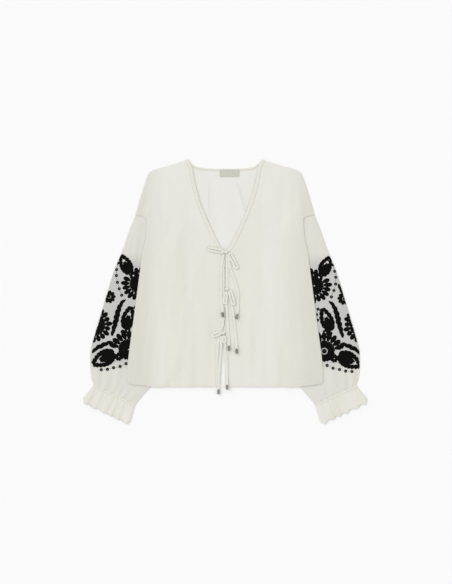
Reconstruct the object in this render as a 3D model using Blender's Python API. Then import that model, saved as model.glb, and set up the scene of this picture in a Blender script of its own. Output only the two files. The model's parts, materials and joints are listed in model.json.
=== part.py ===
"""An embroidered blouse laid flat: voile body, balloon sleeves, wrist ruffles and three tie pairs.

Metres, +Z up. The blouse lies on z = 0 with its front up: X runs across, Y from hem to neck, and the
origin is under the middle of its outline. Tables give plan places in millimetres: "out" is the distance
from the centre line, "across" is signed, "up" is along Y.
"""

import math
from typing import NamedTuple

import bmesh
import bpy
import numpy as np
from mathutils.geometry import delaunay_2d_cdt

MM = 0.001

# Cloth
WALL = 1.0 * MM
GAP = 0.3 * MM
BOUND_EXTRA = 0.4 * MM
NECK_BINDING_WIDTH = 6.0 * MM
FRONT_BINDING_WIDTH = 9.5 * MM

# Lattice of the panels: columns are close because the folds run down the garment
COLUMN = 14.0 * MM
ROW = 34.0 * MM
EDGE_STEP = 15.0 * MM

# Flattened sleeves, and how far the body is lifted where it lies over them
SLEEVE_HEIGHT = 2.5 * MM
SLEEVE_PUFF = 2.1 * MM
BODY_OVER_SLEEVE = SLEEVE_HEIGHT + 0.4 * MM
FRONT_PUFF = 0.9 * MM
EDGE_PLAY = 0.2 * MM
FOLD_EDGE = 1.1 * MM
FOLD_INNER = 1.3 * MM

# Wrist casing and ruffle
CASING_WIDTH = 7.0 * MM
CASING_HEIGHT = 3.0 * MM
RUFFLE_WAVES = 6
RUFFLE_HEIGHT = 2.6 * MM
RUFFLE_RISE = 3.1 * MM
RUFFLE_SCALLOP = 3.6 * MM
RUFFLE_REACH = 3.5 * MM
RUFFLE_CORNER = 4.2 * MM

# Ties
TIE_WIDTH = 7.0 * MM
TIE_THICKNESS = 1.6 * MM
LOOP_STRAP_WIDTH = 4.8 * MM
LOOP_HALF_WIDTH = 3.6 * MM
KNOT_SIZE = (11.0 * MM, 10.0 * MM, 5.2 * MM)
CAP_RADIUS = 3.3 * MM
CAP_LENGTH = 13.0 * MM

# Label
LABEL_ACROSS = (-13.3 * MM, 36.1 * MM)
LABEL_UP = (299.5 * MM, 318.6 * MM)


class Place(NamedTuple):
    """A place on one half of the plan."""

    out: float
    up: float


class Section(NamedTuple):
    """A cross line of the flattened sleeve, from its outer fold to its hidden inner fold."""

    outer_out: float
    outer_up: float
    inner_out: float
    inner_up: float
    bow: float


class Fold(NamedTuple):
    """A soft fold of a panel: its line from top to bottom, its half width and its height."""

    top_across: float
    top_up: float
    low_across: float
    low_up: float
    half_width: float
    height: float


class Strap(NamedTuple):
    """A tie end: its name and the plan points that it follows from the knot to its metal cap."""

    name: str
    points: tuple


class Loop(NamedTuple):
    """A bow loop: its name, and the plan places where it leaves the knot and turns back."""

    name: str
    root_across: float
    root_up: float
    tip_across: float
    tip_up: float


NECK_POINT = Place(95.2, 344.3)
SHOULDER = (NECK_POINT, Place(143, 329.3), Place(177, 320.0), Place(192.5, 313.5), Place(200.5, 305.5))
DROPPED_SHOULDER = (SHOULDER[-1], Place(211, 275), Place(220.8, 244), Place(229.2, 213), Place(233.8, 197.6))
SHOULDER_CREASE = (Place(196, 303), Place(193, 272), Place(195, 226), Place(203.4, 189.9))
SIDE = (
    Place(206.5, 142.5),
    Place(214.0, 108.0),
    Place(219.0, 72.0),
    Place(229.0, -3.0),
    Place(241.5, -97.0),
    Place(249.5, -155.0),
    Place(254.0, -200.0),
    Place(254.5, -230.0),
)
HEM = (Place(252.0, -237.0), Place(236.0, -241.0), Place(206.0, -244.5), Place(190.0, -246.5))
HEM_UP = -246.5
V_EDGE = (
    NECK_POINT,
    Place(85.5, 322),
    Place(78.5, 285),
    Place(65.0, 235),
    Place(48.5, 194),
    Place(31.0, 155),
    Place(13.5, 121),
    Place(1.6, 104),
)
BACK_NECK = (
    NECK_POINT,
    Place(86.0, 334),
    Place(73.0, 325.5),
    Place(52.0, 321.8),
    Place(26.0, 320.2),
    Place(0.0, 319.8),
)
# The fronts meet at the centre, and the left one swings away below the lowest knot
FRONT_EDGE_LEFT = (
    Place(1.0, 60),
    Place(1.0, -60),
    Place(5.0, -95),
    Place(13.0, -128),
    Place(16.0, -165),
    Place(16.5, HEM_UP),
)
FRONT_EDGE_RIGHT = (Place(1.0, 60), Place(1.0, -60), Place(1.0, -128), Place(1.0, HEM_UP))

SLEEVE = (
    Section(233.8, 197.0, 146.0, 118.0, 22),
    Section(248.5, 161.0, 141.0, 82.0, 12),
    Section(266.0, 111.0, 139.0, 50.0, 5),
    Section(289.0, 54.0, 137.0, 14.0, 0),
    Section(309.5, -12.0, 137.0, -48.0, 0),
    Section(333.0, -90.0, 141.0, -124.0, 0),
    Section(348.5, -146.0, 150.0, -184.0, 0),
    Section(350.5, -190.0, 169.0, -226.0, 0),
    Section(348.0, -222.0, 200.0, -254.0, 0),
    Section(342.0, -240.5, 232.0, -291.5, 0),
)
SLEEVE_RINGS = (0.0, 0.3, 0.8, 1.6, 2.7, 4.0, 5.2, 6.3, 7.2, 7.9, 8.4, 8.75, 9.0)
SLEEVE_TOP_COLUMNS = 26
SLEEVE_LOW_COLUMNS = 8
SIDE_COLUMN = 9
SHOULDER_GATHERS = 9
WRIST_GATHERS = 7

RUFFLE_OUTER = Place(372.0, -281.5)
RUFFLE_INNER = Place(247.0, -341.2)
RUFFLE_RINGS = (0.0, 0.3, 0.65, 1.0)
RUFFLE_TOP_COLUMNS = 38
RUFFLE_LOW_COLUMNS = 14

FRONT_FOLDS = (
    Fold(-182, 20, -205, -240, 11, 0.8),
    Fold(-135, 60, -160, -240, 11, 0.9),
    Fold(-100, 14, -134, -240, 10, 1.0),
    Fold(-97, 14, -92, -244, 12, 1.6),
    Fold(-52, -20, -56, -244, 12, 0.9),
    Fold(-120, 290, -105, 60, 16, 0.6),
    Fold(62, -10, 66, -244, 12, 0.9),
    Fold(88, 70, 96, -244, 12, 1.1),
    Fold(126, 60, 128, -240, 12, 1.2),
    Fold(140, -110, 196, -215, 10, 1.0),
    Fold(184, 40, 214, -240, 11, 0.8),
    Fold(128, 290, 96, 60, 16, 0.6),
)
BACK_FOLDS = (
    Fold(-43, 300, -42, 205, 7, 0.6),
    Fold(29, 295, 56, 200, 8, 0.7),
)

KNOTS = {"top": (2.3, 103.5), "middle": (4.9, 7.3), "low": (-5.5, -107.1)}
STRAPS = (
    Strap("tie_top_left", ((-3.6, 96.6), (-8.6, 74), (-10.4, 40), (-10.7, 5), (-8.8, -28), (-7.0, -52.4))),
    Strap(
        "tie_top_right",
        ((8.2, 96.6), (11.0, 73), (17.0, 50), (27.0, 26), (33.6, -2), (33.6, -34), (31.4, -57.4)),
    ),
    Strap("tie_middle_left", ((0.9, -0.4), (2.6, -34), (6.4, -73), (8.8, -112), (9.7, -139.5))),
    Strap("tie_middle_right", ((10.6, -0.4), (17.4, -34), (23.0, -73), (27.6, -112), (29.6, -147.3))),
    Strap("tie_low_left", ((-9.8, -114.6), (-11.4, -151), (-14.6, -198), (-16.4, -229), (-17.0, -252.9))),
    Strap("tie_low_right", ((-1.0, -114.6), (0.6, -151), (4.2, -198), (5.1, -240.9))),
)
LOOPS = (
    Loop("tie_top_loop_left", -5.8, 104.4, -44.0, 112.0),
    Loop("tie_top_loop_right", 11.2, 99.5, 31.0, 62.0),
    Loop("tie_middle_loop_left", 1.2, -2.2, -0.6, -30.0),
    Loop("tie_middle_loop_right", 12.8, 1.2, 21.5, -33.0),
    Loop("tie_low_loop_left", -13.6, -107.5, -34.0, -114.0),
    Loop("tie_low_loop_right", -2.6, -116.2, -2.4, -131.5),
)
FLOOR_CAP = "tie_low_left"

CREAM = (0.80, 0.79, 0.73)
CREAM_BINDING = (0.76, 0.74, 0.66)
LABEL_CREAM = (0.62, 0.61, 0.54)
CAP_METAL = (0.42, 0.39, 0.35)


def smooth_step(t):
    """0 below 0, 1 above 1, and a smooth ramp between."""
    t = np.clip(t, 0.0, 1.0)
    return t * t * (3.0 - 2.0 * t)


def metres(places):
    """A table of places in millimetres as an array of plan points in metres."""
    return np.array([(p[0], p[1]) for p in places], float) * MM


def along(points):
    """How far along a line each of its points is."""
    return np.concatenate([[0.0], np.cumsum(np.linalg.norm(np.diff(points, axis=0), axis=1))])


def curve_through(points, at):
    """The smooth curve through the points, read at fractional point numbers (Catmull-Rom)."""
    points, at = np.asarray(points, float), np.asarray(at, float)
    padded = np.vstack([2 * points[0] - points[1], points, 2 * points[-1] - points[-2]])
    k = np.clip(at.astype(int), 0, len(points) - 2)
    t = (at - k)[:, None]
    a, b, c, d = (padded[k + i] for i in range(4))
    return 0.5 * (2 * b + (c - a) * t + (2 * a - 5 * b + 4 * c - d) * t**2 + (3 * b - a - 3 * c + d) * t**3)


def evenly(points, step):
    """The smooth curve through the points again, with points about step apart."""
    fine = curve_through(points, np.linspace(0, len(points) - 1, 24 * (len(points) - 1) + 1))
    length = along(fine)
    stops = np.linspace(0, length[-1], max(2, round(length[-1] / step) + 1))
    return np.stack([np.interp(stops, length, fine[:, k]) for k in range(fine.shape[1])], axis=1)


def straight(start, end, step):
    """Points about step apart on a straight line, both ends among them."""
    count = max(2, round(math.dist(start, end) / step) + 1)
    return np.linspace(start, end, count)


def distance_to(line, x, y):
    """How far each point is from a line of straight runs."""
    p = np.stack([np.ravel(x), np.ravel(y)], axis=1)[:, None, :]
    a, d = line[None, :-1], (line[1:] - line[:-1])[None]
    t = np.clip(((p - a) * d).sum(2) / np.maximum((d * d).sum(2), 1e-12), 0, 1)
    return np.linalg.norm(p - a - t[..., None] * d, axis=2).min(axis=1).reshape(np.shape(x))


def inside(outline, x, y):
    """Whether each point is inside a closed outline."""
    x, y = np.asarray(x, float), np.asarray(y, float)
    crossings = np.zeros(np.shape(x), int)
    for (x0, y0), (x1, y1) in zip(outline, np.roll(outline, -1, axis=0)):
        spans = (y0 > y) != (y1 > y)
        crossings += spans & (x < (x1 - x0) * (y - y0) / (y1 - y0 + (y1 == y0)) + x0)
    return crossings % 2 == 1


def sleeve_line(at, share):
    """Plan points (out, up) of the sleeve at one section, at shares 0 outer fold to 1 inner fold."""
    row = curve_through(np.array(SLEEVE, float), [at])[0] * MM
    share = np.asarray(share, float)[:, None]
    line = (1 - share) * row[0:2] + share * row[2:4]
    line[:, 1] += 4 * row[4] * (share * (1 - share))[:, 0]
    return line


ARMHOLE = sleeve_line(0.0, np.linspace(0, 1, SLEEVE_TOP_COLUMNS + 1))
SEAM_EDGE = ARMHOLE[: SIDE_COLUMN + 1] + (0, GAP)


def outer_outline():
    """One half of the body's edge in plan, from neck point round the shoulder and side to the hem."""
    return np.vstack(
        [
            evenly(metres(SHOULDER), EDGE_STEP)[:-1],
            evenly(metres(DROPPED_SHOULDER), EDGE_STEP)[:-1],
            SEAM_EDGE[:-1],
            evenly(np.vstack([SEAM_EDGE[-1:], metres(SIDE)]), 2 * EDGE_STEP)[:-1],
            evenly(metres((SIDE[-1],) + HEM), EDGE_STEP),
        ]
    )


EDGE = outer_outline()
BODY_SHADOW = np.vstack([EDGE, [(0.0, HEM_UP * MM), (0.0, NECK_POINT.up * MM)]])


def fold_height(folds, x, y):
    """The height that a table of folds adds at plan points."""
    total = np.zeros(np.shape(x))
    for fold in folds:
        top, low = fold.top_up * MM, fold.low_up * MM
        share = (top - y) / (top - low)
        line = (fold.top_across + (fold.low_across - fold.top_across) * np.clip(share, 0, 1)) * MM
        width = fold.half_width * MM * (0.7 + 0.5 * np.clip(share, 0, 1))
        fade = smooth_step(share / 0.35) * smooth_step((1.15 - share) / 0.15)
        total += fold.height * MM * fade * np.exp(-(((x - line) / width) ** 2))
    return total


def back_low(x, y):
    """The underside of the back: flat on the surface, lifted where it lies over a sleeve."""
    out = np.abs(x)
    rows = metres([(s.inner_out, s.inner_up) for s in SLEEVE])[::-1]
    inner = np.interp(y, rows[:, 1], rows[:, 0])
    seam = np.interp(out, ARMHOLE[::-1, 0], ARMHOLE[::-1, 1])
    crease_rows = metres(SHOULDER_CREASE)[::-1]
    crease = np.interp(y, crease_rows[:, 1], crease_rows[:, 0])
    over = smooth_step((out - inner + 0.048) / 0.032)
    below = smooth_step((seam + 0.070 - y) / 0.050)
    within = np.where(y > seam, smooth_step((crease + 0.014 - out) / 0.014), 1.0)
    return BODY_OVER_SLEEVE * over * below * within + fold_height(BACK_FOLDS, x, y)


def back_top(x, y):
    """The upper side of the back, with the creases that show in the neck opening."""
    return back_low(x, y) + WALL


def front_low(x, y):
    """The underside of a front: close to the back at the edges, puffed and folded between them."""
    out = np.abs(x)
    edge = distance_to(EDGE, out, y)
    crease_rows = metres(SHOULDER_CREASE)[::-1]
    crease = np.interp(y, crease_rows[:, 1], crease_rows[:, 0])
    beyond = (y > SHOULDER_CREASE[-1].up * MM) * smooth_step((out - crease) / 0.006)
    puff = FRONT_PUFF * smooth_step(edge / 0.035) * (1 - 0.9 * beyond)
    folds = fold_height(FRONT_FOLDS, x, y) * smooth_step((edge + 0.008) / 0.03)
    return back_top(x, y) + GAP + EDGE_PLAY + puff + folds


def front_top(x, y):
    """The upper side of a front where it is bound, which is what the ties lie on."""
    return front_low(x, y) + WALL + BOUND_EXTRA


def new_object(name, verts, faces, color, roughness=0.9, metallic=0.0, smooth_angle=50.0):
    """One named mesh object with its own Principled material."""
    mesh = bpy.data.meshes.new(name)
    mesh.from_pydata([tuple(map(float, v)) for v in verts], [], [tuple(map(int, f)) for f in faces])
    tidy = bmesh.new()
    tidy.from_mesh(mesh)
    bmesh.ops.recalc_face_normals(tidy, faces=tidy.faces)
    tidy.to_mesh(mesh)
    tidy.free()
    mesh.shade_smooth()
    mesh.set_sharp_from_angle(angle=math.radians(smooth_angle))
    material = bpy.data.materials.new(name + "_finish")
    material.use_nodes = True
    shader = material.node_tree.nodes["Principled BSDF"]
    shader.inputs["Base Color"].default_value = (*color, 1.0)
    shader.inputs["Roughness"].default_value = roughness
    shader.inputs["Metallic"].default_value = metallic
    mesh.materials.append(material)
    obj = bpy.data.objects.new(name, mesh)
    bpy.context.scene.collection.objects.link(obj)
    return obj


def lattice_inside(outline):
    """Lattice points inside an outline and clear of its edge."""
    low, high = outline.min(axis=0), outline.max(axis=0)
    columns = np.arange(math.ceil(low[0] / COLUMN), math.floor(high[0] / COLUMN) + 1) * COLUMN
    rows = np.arange(math.ceil(low[1] / ROW), math.floor(high[1] / ROW) + 1) * ROW
    x, y = (g.ravel() for g in np.meshgrid(columns, rows))
    closed = np.vstack([outline, outline[:1]])
    keep = inside(outline, x, y) & (distance_to(closed, x, y) > 0.4 * COLUMN)
    return np.stack([x[keep], y[keep]], axis=1)


def panel(name, outline, low, color, thickness=WALL, lattice=True):
    """A cloth panel: the outline filled with a lattice of triangles, and a wall thickness on top."""
    points = np.vstack([outline, lattice_inside(outline)]) if lattice else outline
    rim = [list(range(len(outline)))]
    flat, _, triangles, *_ = delaunay_2d_cdt([tuple(p) for p in points], [], rim, 1, 1e-7)
    plan = np.array([tuple(p) for p in flat])
    height = low(plan[:, 0], plan[:, 1])
    count = len(plan)
    verts = np.vstack([np.column_stack([plan, height]), np.column_stack([plan, height + thickness])])
    edges = {}
    for triangle in triangles:
        for a, b in zip(triangle, list(triangle[1:]) + [triangle[0]]):
            edges.setdefault(frozenset((a, b)), []).append((a, b))
    faces = [tuple(reversed(t)) for t in triangles]
    faces += [tuple(i + count for i in t) for t in triangles]
    faces += [(a, b, b + count, a + count) for uses in edges.values() if len(uses) == 1 for a, b in uses]
    return new_object(name, verts, faces, color)


def mirrored(points, side):
    """Half-plan points on one side of the garment, side -1 left and 1 right."""
    return np.asarray(points) * (side, 1.0)


def strip_edges(edge, width, first_cross, last_cross):
    """A binding's inner edge: its outer edge moved in by its width, cut to the given end directions."""
    tangent = np.gradient(edge, axis=0)
    tangent /= np.linalg.norm(tangent, axis=1)[:, None]
    normal = np.stack([-tangent[:, 1], tangent[:, 0]], axis=1)
    distance = along(edge)
    first = (1 - smooth_step(distance / (2.5 * width)))[:, None]
    last = (1 - smooth_step((distance[-1] - distance) / (2.5 * width)))[:, None]
    cross = normal * (1 - first - last) + first * np.array(first_cross) + last * np.array(last_cross)
    return edge + width * cross / np.linalg.norm(cross, axis=1)[:, None]


def shoulder_way():
    """The direction of the shoulder line at the neck, in half plan."""
    neck, next_place = metres(SHOULDER[:2])
    return (next_place - neck) / np.linalg.norm(next_place - neck)


def front_edges(side):
    """A front's bound edge in half plan: the binding's outer and inner edge, neck point to hem."""
    lower = FRONT_EDGE_LEFT if side < 0 else FRONT_EDGE_RIGHT
    edge = evenly(metres(V_EDGE + lower), 0.9 * EDGE_STEP)
    edge[-1, 1] = HEM_UP * MM
    return edge, strip_edges(edge, FRONT_BINDING_WIDTH, shoulder_way(), (1.0, 0.0))


def neck_edges():
    """The back neckline in half plan: the binding's outer and inner edge, neck point to centre."""
    edge = evenly(metres(BACK_NECK), 0.7 * EDGE_STEP)
    return edge, strip_edges(edge, NECK_BINDING_WIDTH, shoulder_way(), (0.0, -1.0))


def hem_between(low, high):
    """Points of the straight hem at the lattice's columns, between two distances from the centre."""
    columns = np.arange(math.ceil(low / COLUMN + 0.2), math.floor(high / COLUMN - 0.2) + 1) * COLUMN
    return np.column_stack([columns, np.full(len(columns), HEM_UP * MM)])


def build_back():
    """The back with both dropped shoulders, under everything else."""
    _, neck = neck_edges()
    neck = neck + (GAP, -GAP)
    neck[-1, 0] = 0.0
    half = np.vstack([neck[::-1], EDGE[1:], hem_between(0.0, EDGE[-1][0])[::-1]])
    left = mirrored(half, -1)[::-1]
    hem_middle = [(0.0, HEM_UP * MM)]
    panel("back", without_doubles(np.vstack([half, hem_middle, left[:-1]])), back_low, CREAM)


def without_doubles(outline):
    """The outline without a point that repeats the one before it."""
    far = np.linalg.norm(outline - np.roll(outline, 1, axis=0), axis=1) > 0.2 * MM
    return outline[far]


def build_front(name, side):
    """One front, from its binding out to the shoulder, the dropped shoulder, the side and the hem."""
    _, inner = front_edges(side)
    inner = inner + (GAP, 0.0)
    hem = hem_between(inner[-1][0], EDGE[-1][0])
    shoulder = EDGE[EDGE[:, 0] > inner[0][0] + 0.3 * EDGE_STEP]
    outline = np.vstack([inner, hem, shoulder[::-1]])
    panel(name, without_doubles(mirrored(outline, side)), front_low, CREAM)


def build_bindings():
    """The bound edges of the neckline and the fronts, each beside its panel and a little thicker."""
    outer, inner = neck_edges()
    outline = np.vstack([outer, mirrored(outer, -1)[::-1][1:], mirrored(inner, -1), inner[::-1][1:]])
    panel("neck_binding", outline, back_low, CREAM_BINDING, WALL + BOUND_EXTRA, lattice=False)
    for name, side in (("front_binding_left", -1), ("front_binding_right", 1)):
        outer, inner = front_edges(side)
        outline = mirrored(np.vstack([outer, inner[::-1]]), side)
        panel(name, outline, front_low, CREAM_BINDING, WALL + BOUND_EXTRA, lattice=False)


def label_low(x, y):
    """The underside of the neck label, just over the back's binding."""
    return back_top(x, y) + BOUND_EXTRA + GAP


def build_label():
    """The bare neck label, sewn over the back's binding at its top edge."""
    (left, right), (low, top) = LABEL_ACROSS, LABEL_UP
    corners = ((left, low), (right, low), (right, top), (left, top), (left, low))
    outline = np.vstack([straight(a, b, EDGE_STEP)[:-1] for a, b in zip(corners, corners[1:])])
    panel("neck_label", outline, label_low, LABEL_CREAM, lattice=False)


def flat_tube(name, rings, color):
    """A flattened cloth tube from rings of top ply points, their heights and low ply points."""
    outer_loops, inner_loops = [], []
    for top, height, low in rings:
        across = (low[-1] - low[0]) / np.linalg.norm(low[-1] - low[0])
        outside = np.column_stack([low, np.zeros(len(low))])
        hollow = outside + (0, 0, WALL)
        upper = np.column_stack([top, height])[::-1]
        under = upper - (0, 0, WALL)
        skins = (
            (outer_loops, outside, upper, 0.0, FOLD_EDGE),
            (inner_loops, hollow, under, FOLD_INNER, FOLD_INNER + FOLD_EDGE),
        )
        for loops, lower, above, edge, inset in skins:
            lower[0, :2], lower[-1, :2] = low[0] + across * inset, low[-1] - across * inset
            above[-1, :2], above[0, :2] = top[0] + across * inset, top[-1] - across * inset
            far = np.append(low[-1] - across * edge, 0.5 * SLEEVE_HEIGHT)
            near = np.append(low[0] + across * edge, 0.5 * SLEEVE_HEIGHT)
            loops.append(np.vstack([lower, far[None], above, near[None]]))
    size = len(outer_loops[0])
    verts = np.vstack(outer_loops + inner_loops)
    shift = size * len(rings)
    faces = []
    for r in range(len(rings) - 1):
        for i in range(size):
            a, b = r * size + i, r * size + (i + 1) % size
            faces.append((a, b, b + size, a + size))
            faces.append((shift + a, shift + a + size, shift + b + size, shift + b))
    for r in (0, len(rings) - 1):
        for i in range(size):
            a, b = r * size + i, r * size + (i + 1) % size
            faces.append((a, b, shift + b, shift + a))
    return new_object(name, verts, faces, color)


def open_to_view(points):
    """0 where the body lies over a sleeve and near its edge, rising to 1 where the sleeve is bare."""
    out, up = points[:, 0], points[:, 1]
    away = distance_to(EDGE, out, up)
    bare = ~inside(BODY_SHADOW, out, up)
    return bare * smooth_step((away - 0.008) / 0.022)


def build_sleeve(name, side):
    """A balloon sleeve: gathered at the armhole and at the wrist, part of it under the body."""
    top_share = np.linspace(0, 1, SLEEVE_TOP_COLUMNS + 1)
    low_share = np.linspace(0, 1, SLEEVE_LOW_COLUMNS + 1)
    rings = []
    for at in SLEEVE_RINGS:
        top, low = sleeve_line(at, top_share), sleeve_line(at, low_share)
        from_fold = np.minimum(along(top), along(top)[-1] - along(top))
        bare = open_to_view(top) * smooth_step(from_fold / 0.022)
        armhole = 1 - smooth_step(at / 1.6)
        wrist = smooth_step((at - 7.0) / 1.8)
        phase = 2 * math.pi * top_share
        shoulder_wave = 0.5 + 0.5 * np.cos(phase * SHOULDER_GATHERS * 2)
        wrist_wave = 0.5 + 0.5 * np.cos(phase * WRIST_GATHERS + 0.6)
        plain = SLEEVE_PUFF * (1 - 0.75 * wrist - 0.6 * armhole)
        gathers = 0.9 * MM * armhole * shoulder_wave + 1.3 * MM * wrist * wrist_wave
        height = SLEEVE_HEIGHT + bare * (plain + gathers)
        rings.append((mirrored(top, side), height, mirrored(low, side)))
    flat_tube(name, rings, CREAM)


WRIST_OUTER, WRIST_INNER = (np.array(p) * MM for p in (SLEEVE[-1][0:2], SLEEVE[-1][2:4]))
WRIST_WAY = (WRIST_INNER - WRIST_OUTER) / np.linalg.norm(WRIST_INNER - WRIST_OUTER)
HAND_WAY = np.array([-WRIST_WAY[1], WRIST_WAY[0]])


def build_wrist_casing(name, side):
    """The narrow casing that holds the wrist elastic."""
    top_share = np.linspace(0, 1, 2 * WRIST_GATHERS + 1)
    low_share = np.linspace(0, 1, 7)
    rings = []
    for distance in (GAP, GAP + CASING_WIDTH):
        start, end = WRIST_OUTER + HAND_WAY * distance, WRIST_INNER + HAND_WAY * distance
        top = start + top_share[:, None] * (end - start)
        low = start + low_share[:, None] * (end - start)
        height = CASING_HEIGHT + 0.5 * MM * np.cos(2 * math.pi * WRIST_GATHERS * top_share) ** 2
        height[[0, -1]] = CASING_HEIGHT
        rings.append((mirrored(top, side), height, mirrored(low, side)))
    flat_tube(name, rings, CREAM_BINDING)


def ruffle_turn(share):
    """The turn of the ruffle's waves across the wrist, uneven as gathered cloth is."""
    return 2 * math.pi * (RUFFLE_WAVES * share - 0.6 + 0.16 * np.sin(2 * math.pi * 1.6 * share))


def ruffle_line(spread, share, phase):
    """Plan points of the ruffle at a share of its depth, with the hem's scallops."""
    start = WRIST_OUTER + HAND_WAY * (CASING_WIDTH + 2 * GAP)
    end = WRIST_INNER + HAND_WAY * (CASING_WIDTH + 2 * GAP)
    gather = start + share[:, None] * (end - start)
    hem_start, hem_end = metres((RUFFLE_OUTER, RUFFLE_INNER))
    hem = hem_start + share[:, None] * (hem_end - hem_start)
    lobes = np.cos(ruffle_turn(share) + phase)
    corner = np.minimum(share, 1 - share)
    rounding = 1 - smooth_step(corner / 0.07)
    reach = (RUFFLE_SCALLOP * lobes + RUFFLE_REACH) * (1 - rounding) - RUFFLE_CORNER * rounding
    hem = hem + HAND_WAY * reach[:, None]
    return gather + spread * (hem - gather)


def build_ruffle(name, side):
    """The wrist ruffle: its top ply in waves, its low ply flat on the surface."""
    top_share = np.linspace(0, 1, RUFFLE_TOP_COLUMNS + 1)
    low_share = np.linspace(0, 1, RUFFLE_LOW_COLUMNS + 1)
    rings = []
    for spread in RUFFLE_RINGS:
        top, low = ruffle_line(spread, top_share, 0.0), ruffle_line(spread, low_share, 1.3)
        low[0], low[-1] = top[0], top[-1]
        wave = 0.5 + 0.5 * np.cos(ruffle_turn(top_share))
        ends = smooth_step(np.minimum(top_share, 1 - top_share) / 0.05)
        rise = RUFFLE_RISE * (0.25 + 0.75 * spread) * wave * ends
        rings.append((mirrored(top, side), RUFFLE_HEIGHT + rise, mirrored(low, side)))
    flat_tube(name, rings, CREAM)


def ribbon(name, centre, width, closed=False):
    """A flat strap along a line of points: a thin six-sided section swept in plan."""
    nxt, prv = np.roll(centre, -1, axis=0), np.roll(centre, 1, axis=0)
    tangent = nxt - prv
    if not closed:
        tangent[0], tangent[-1] = centre[1] - centre[0], centre[-1] - centre[-2]
    sideways = np.stack([-tangent[:, 1], tangent[:, 0], np.zeros(len(centre))], axis=1)
    sideways /= np.linalg.norm(sideways, axis=1)[:, None]
    half, thick = width / 2, TIE_THICKNESS / 2
    section = ((-1.0, 0.0), (-0.7, 1.0), (0.7, 1.0), (1.0, 0.0), (0.7, -1.0), (-0.7, -1.0))
    verts = []
    for middle, way in zip(centre, sideways):
        verts += [middle + way * a * half + np.array((0, 0, b * thick)) for a, b in section]
    size, count = len(section), len(centre)
    faces = []
    for r in range(count if closed else count - 1):
        for i in range(size):
            a, b = r * size + i, r * size + (i + 1) % size
            c, d = (b + size) % (size * count), (a + size) % (size * count)
            faces.append((a, b, c, d))
    if not closed:
        faces += [tuple(range(size)), tuple(range(size * (count - 1), size * count))]
    return new_object(name, verts, faces, CREAM_BINDING)


def rest_height(x, y, reach):
    """How high the bound fronts come within reach of plan points."""
    angles = np.linspace(0, 2 * math.pi, 9)[:-1]
    spots = [front_top(x + reach * math.cos(a), y + reach * math.sin(a)) for a in angles]
    return np.max([front_top(x, y)] + spots, axis=0)


def build_knot(name, across, up):
    """A soft rounded knot over the two front edges."""
    x, y = across * MM, up * MM
    base = float(rest_height(np.array(x), np.array(y), 0.5 * KNOT_SIZE[0])) + GAP
    ball = bmesh.new()
    bmesh.ops.create_uvsphere(ball, u_segments=12, v_segments=6, radius=0.5)
    wide, long, high = KNOT_SIZE
    verts = [(x + v.co.x * wide, y + v.co.y * long, base + (v.co.z + 0.5) * high) for v in ball.verts]
    faces = [[v.index for v in f.verts] for f in ball.faces]
    ball.free()
    new_object(name, verts, faces, CREAM_BINDING)


def build_cap(name, end, way, axis_height):
    """A metal end cap: a turned ferrule with a collar, lying along the strap's last direction."""
    profile = ((0.62, 0.0), (0.8, 0.06), (0.8, 0.2), (1.0, 0.27), (1.0, 0.88), (0.7, 1.0))
    sides = 10
    verts = []
    cross = np.array([-way[1], way[0]])
    for radius, length in profile:
        for k in range(sides):
            angle = 2 * math.pi * k / sides
            plan = end + way * length * CAP_LENGTH + cross * radius * CAP_RADIUS * math.cos(angle)
            verts.append((*plan, axis_height + radius * CAP_RADIUS * math.sin(angle)))
    rings = len(profile)
    faces = [tuple(range(sides)), tuple(range(sides * (rings - 1), sides * rings))]
    for r in range(rings - 1):
        for k in range(sides):
            a, b = r * sides + k, r * sides + (k + 1) % sides
            faces.append((a, b, b + sides, a + sides))
    new_object(name, verts, faces, CAP_METAL, roughness=0.35, metallic=1.0, smooth_angle=35.0)


def build_strap(strap):
    """A tie end and its metal cap, lying on the fronts; the lowest left one runs off the hem."""
    plan = evenly(np.array(strap.points) * MM, 11.0 * MM)
    height = rest_height(plan[:, 0], plan[:, 1], 0.5 * TIE_WIDTH) + GAP + 0.5 * TIE_THICKNESS
    way = (plan[-1] - plan[-2]) / np.linalg.norm(plan[-1] - plan[-2])
    cap_start = plan[-1] + way * GAP
    middle = cap_start + way * 0.5 * CAP_LENGTH
    if strap.name == FLOOR_CAP:
        axis_height = float(height[-2])
    else:
        axis_height = float(rest_height(middle[0], middle[1], 0.5 * CAP_LENGTH)) + GAP + CAP_RADIUS
        climb = smooth_step((along(plan) - along(plan)[-1] + 0.024) / 0.024)
        height = height + climb * (axis_height - height[-1])
    if strap.name == FLOOR_CAP:
        height[-1] = axis_height
    ribbon(strap.name, np.column_stack([plan, height]), TIE_WIDTH)
    build_cap(strap.name + "_cap", cap_start, way, axis_height)


def build_loop(loop):
    """A bow loop: a strap round a long narrow eye, lying over the tie ends."""
    root = np.array((loop.root_across, loop.root_up)) * MM
    tip = np.array((loop.tip_across, loop.tip_up)) * MM
    way = (tip - root) / np.linalg.norm(tip - root)
    cross = np.array([-way[1], way[0]])
    near, far = root + way * LOOP_HALF_WIDTH, tip - way * LOOP_HALF_WIDTH
    turns = np.linspace(-0.5 * math.pi, 0.5 * math.pi, 5)
    round_far = [far + LOOP_HALF_WIDTH * (way * math.cos(a) + cross * math.sin(a)) for a in turns]
    round_near = [near - LOOP_HALF_WIDTH * (way * math.cos(a) + cross * math.sin(a)) for a in turns]
    middle = 0.5 * (near + far)
    side = cross * LOOP_HALF_WIDTH
    plan = np.array(round_far + [middle + side] + round_near + [middle - side])
    level = GAP + TIE_THICKNESS + GAP + 0.5 * TIE_THICKNESS
    height = rest_height(plan[:, 0], plan[:, 1], 0.5 * TIE_WIDTH) + level
    ribbon(loop.name, np.column_stack([plan, height]), LOOP_STRAP_WIDTH, closed=True)


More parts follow.
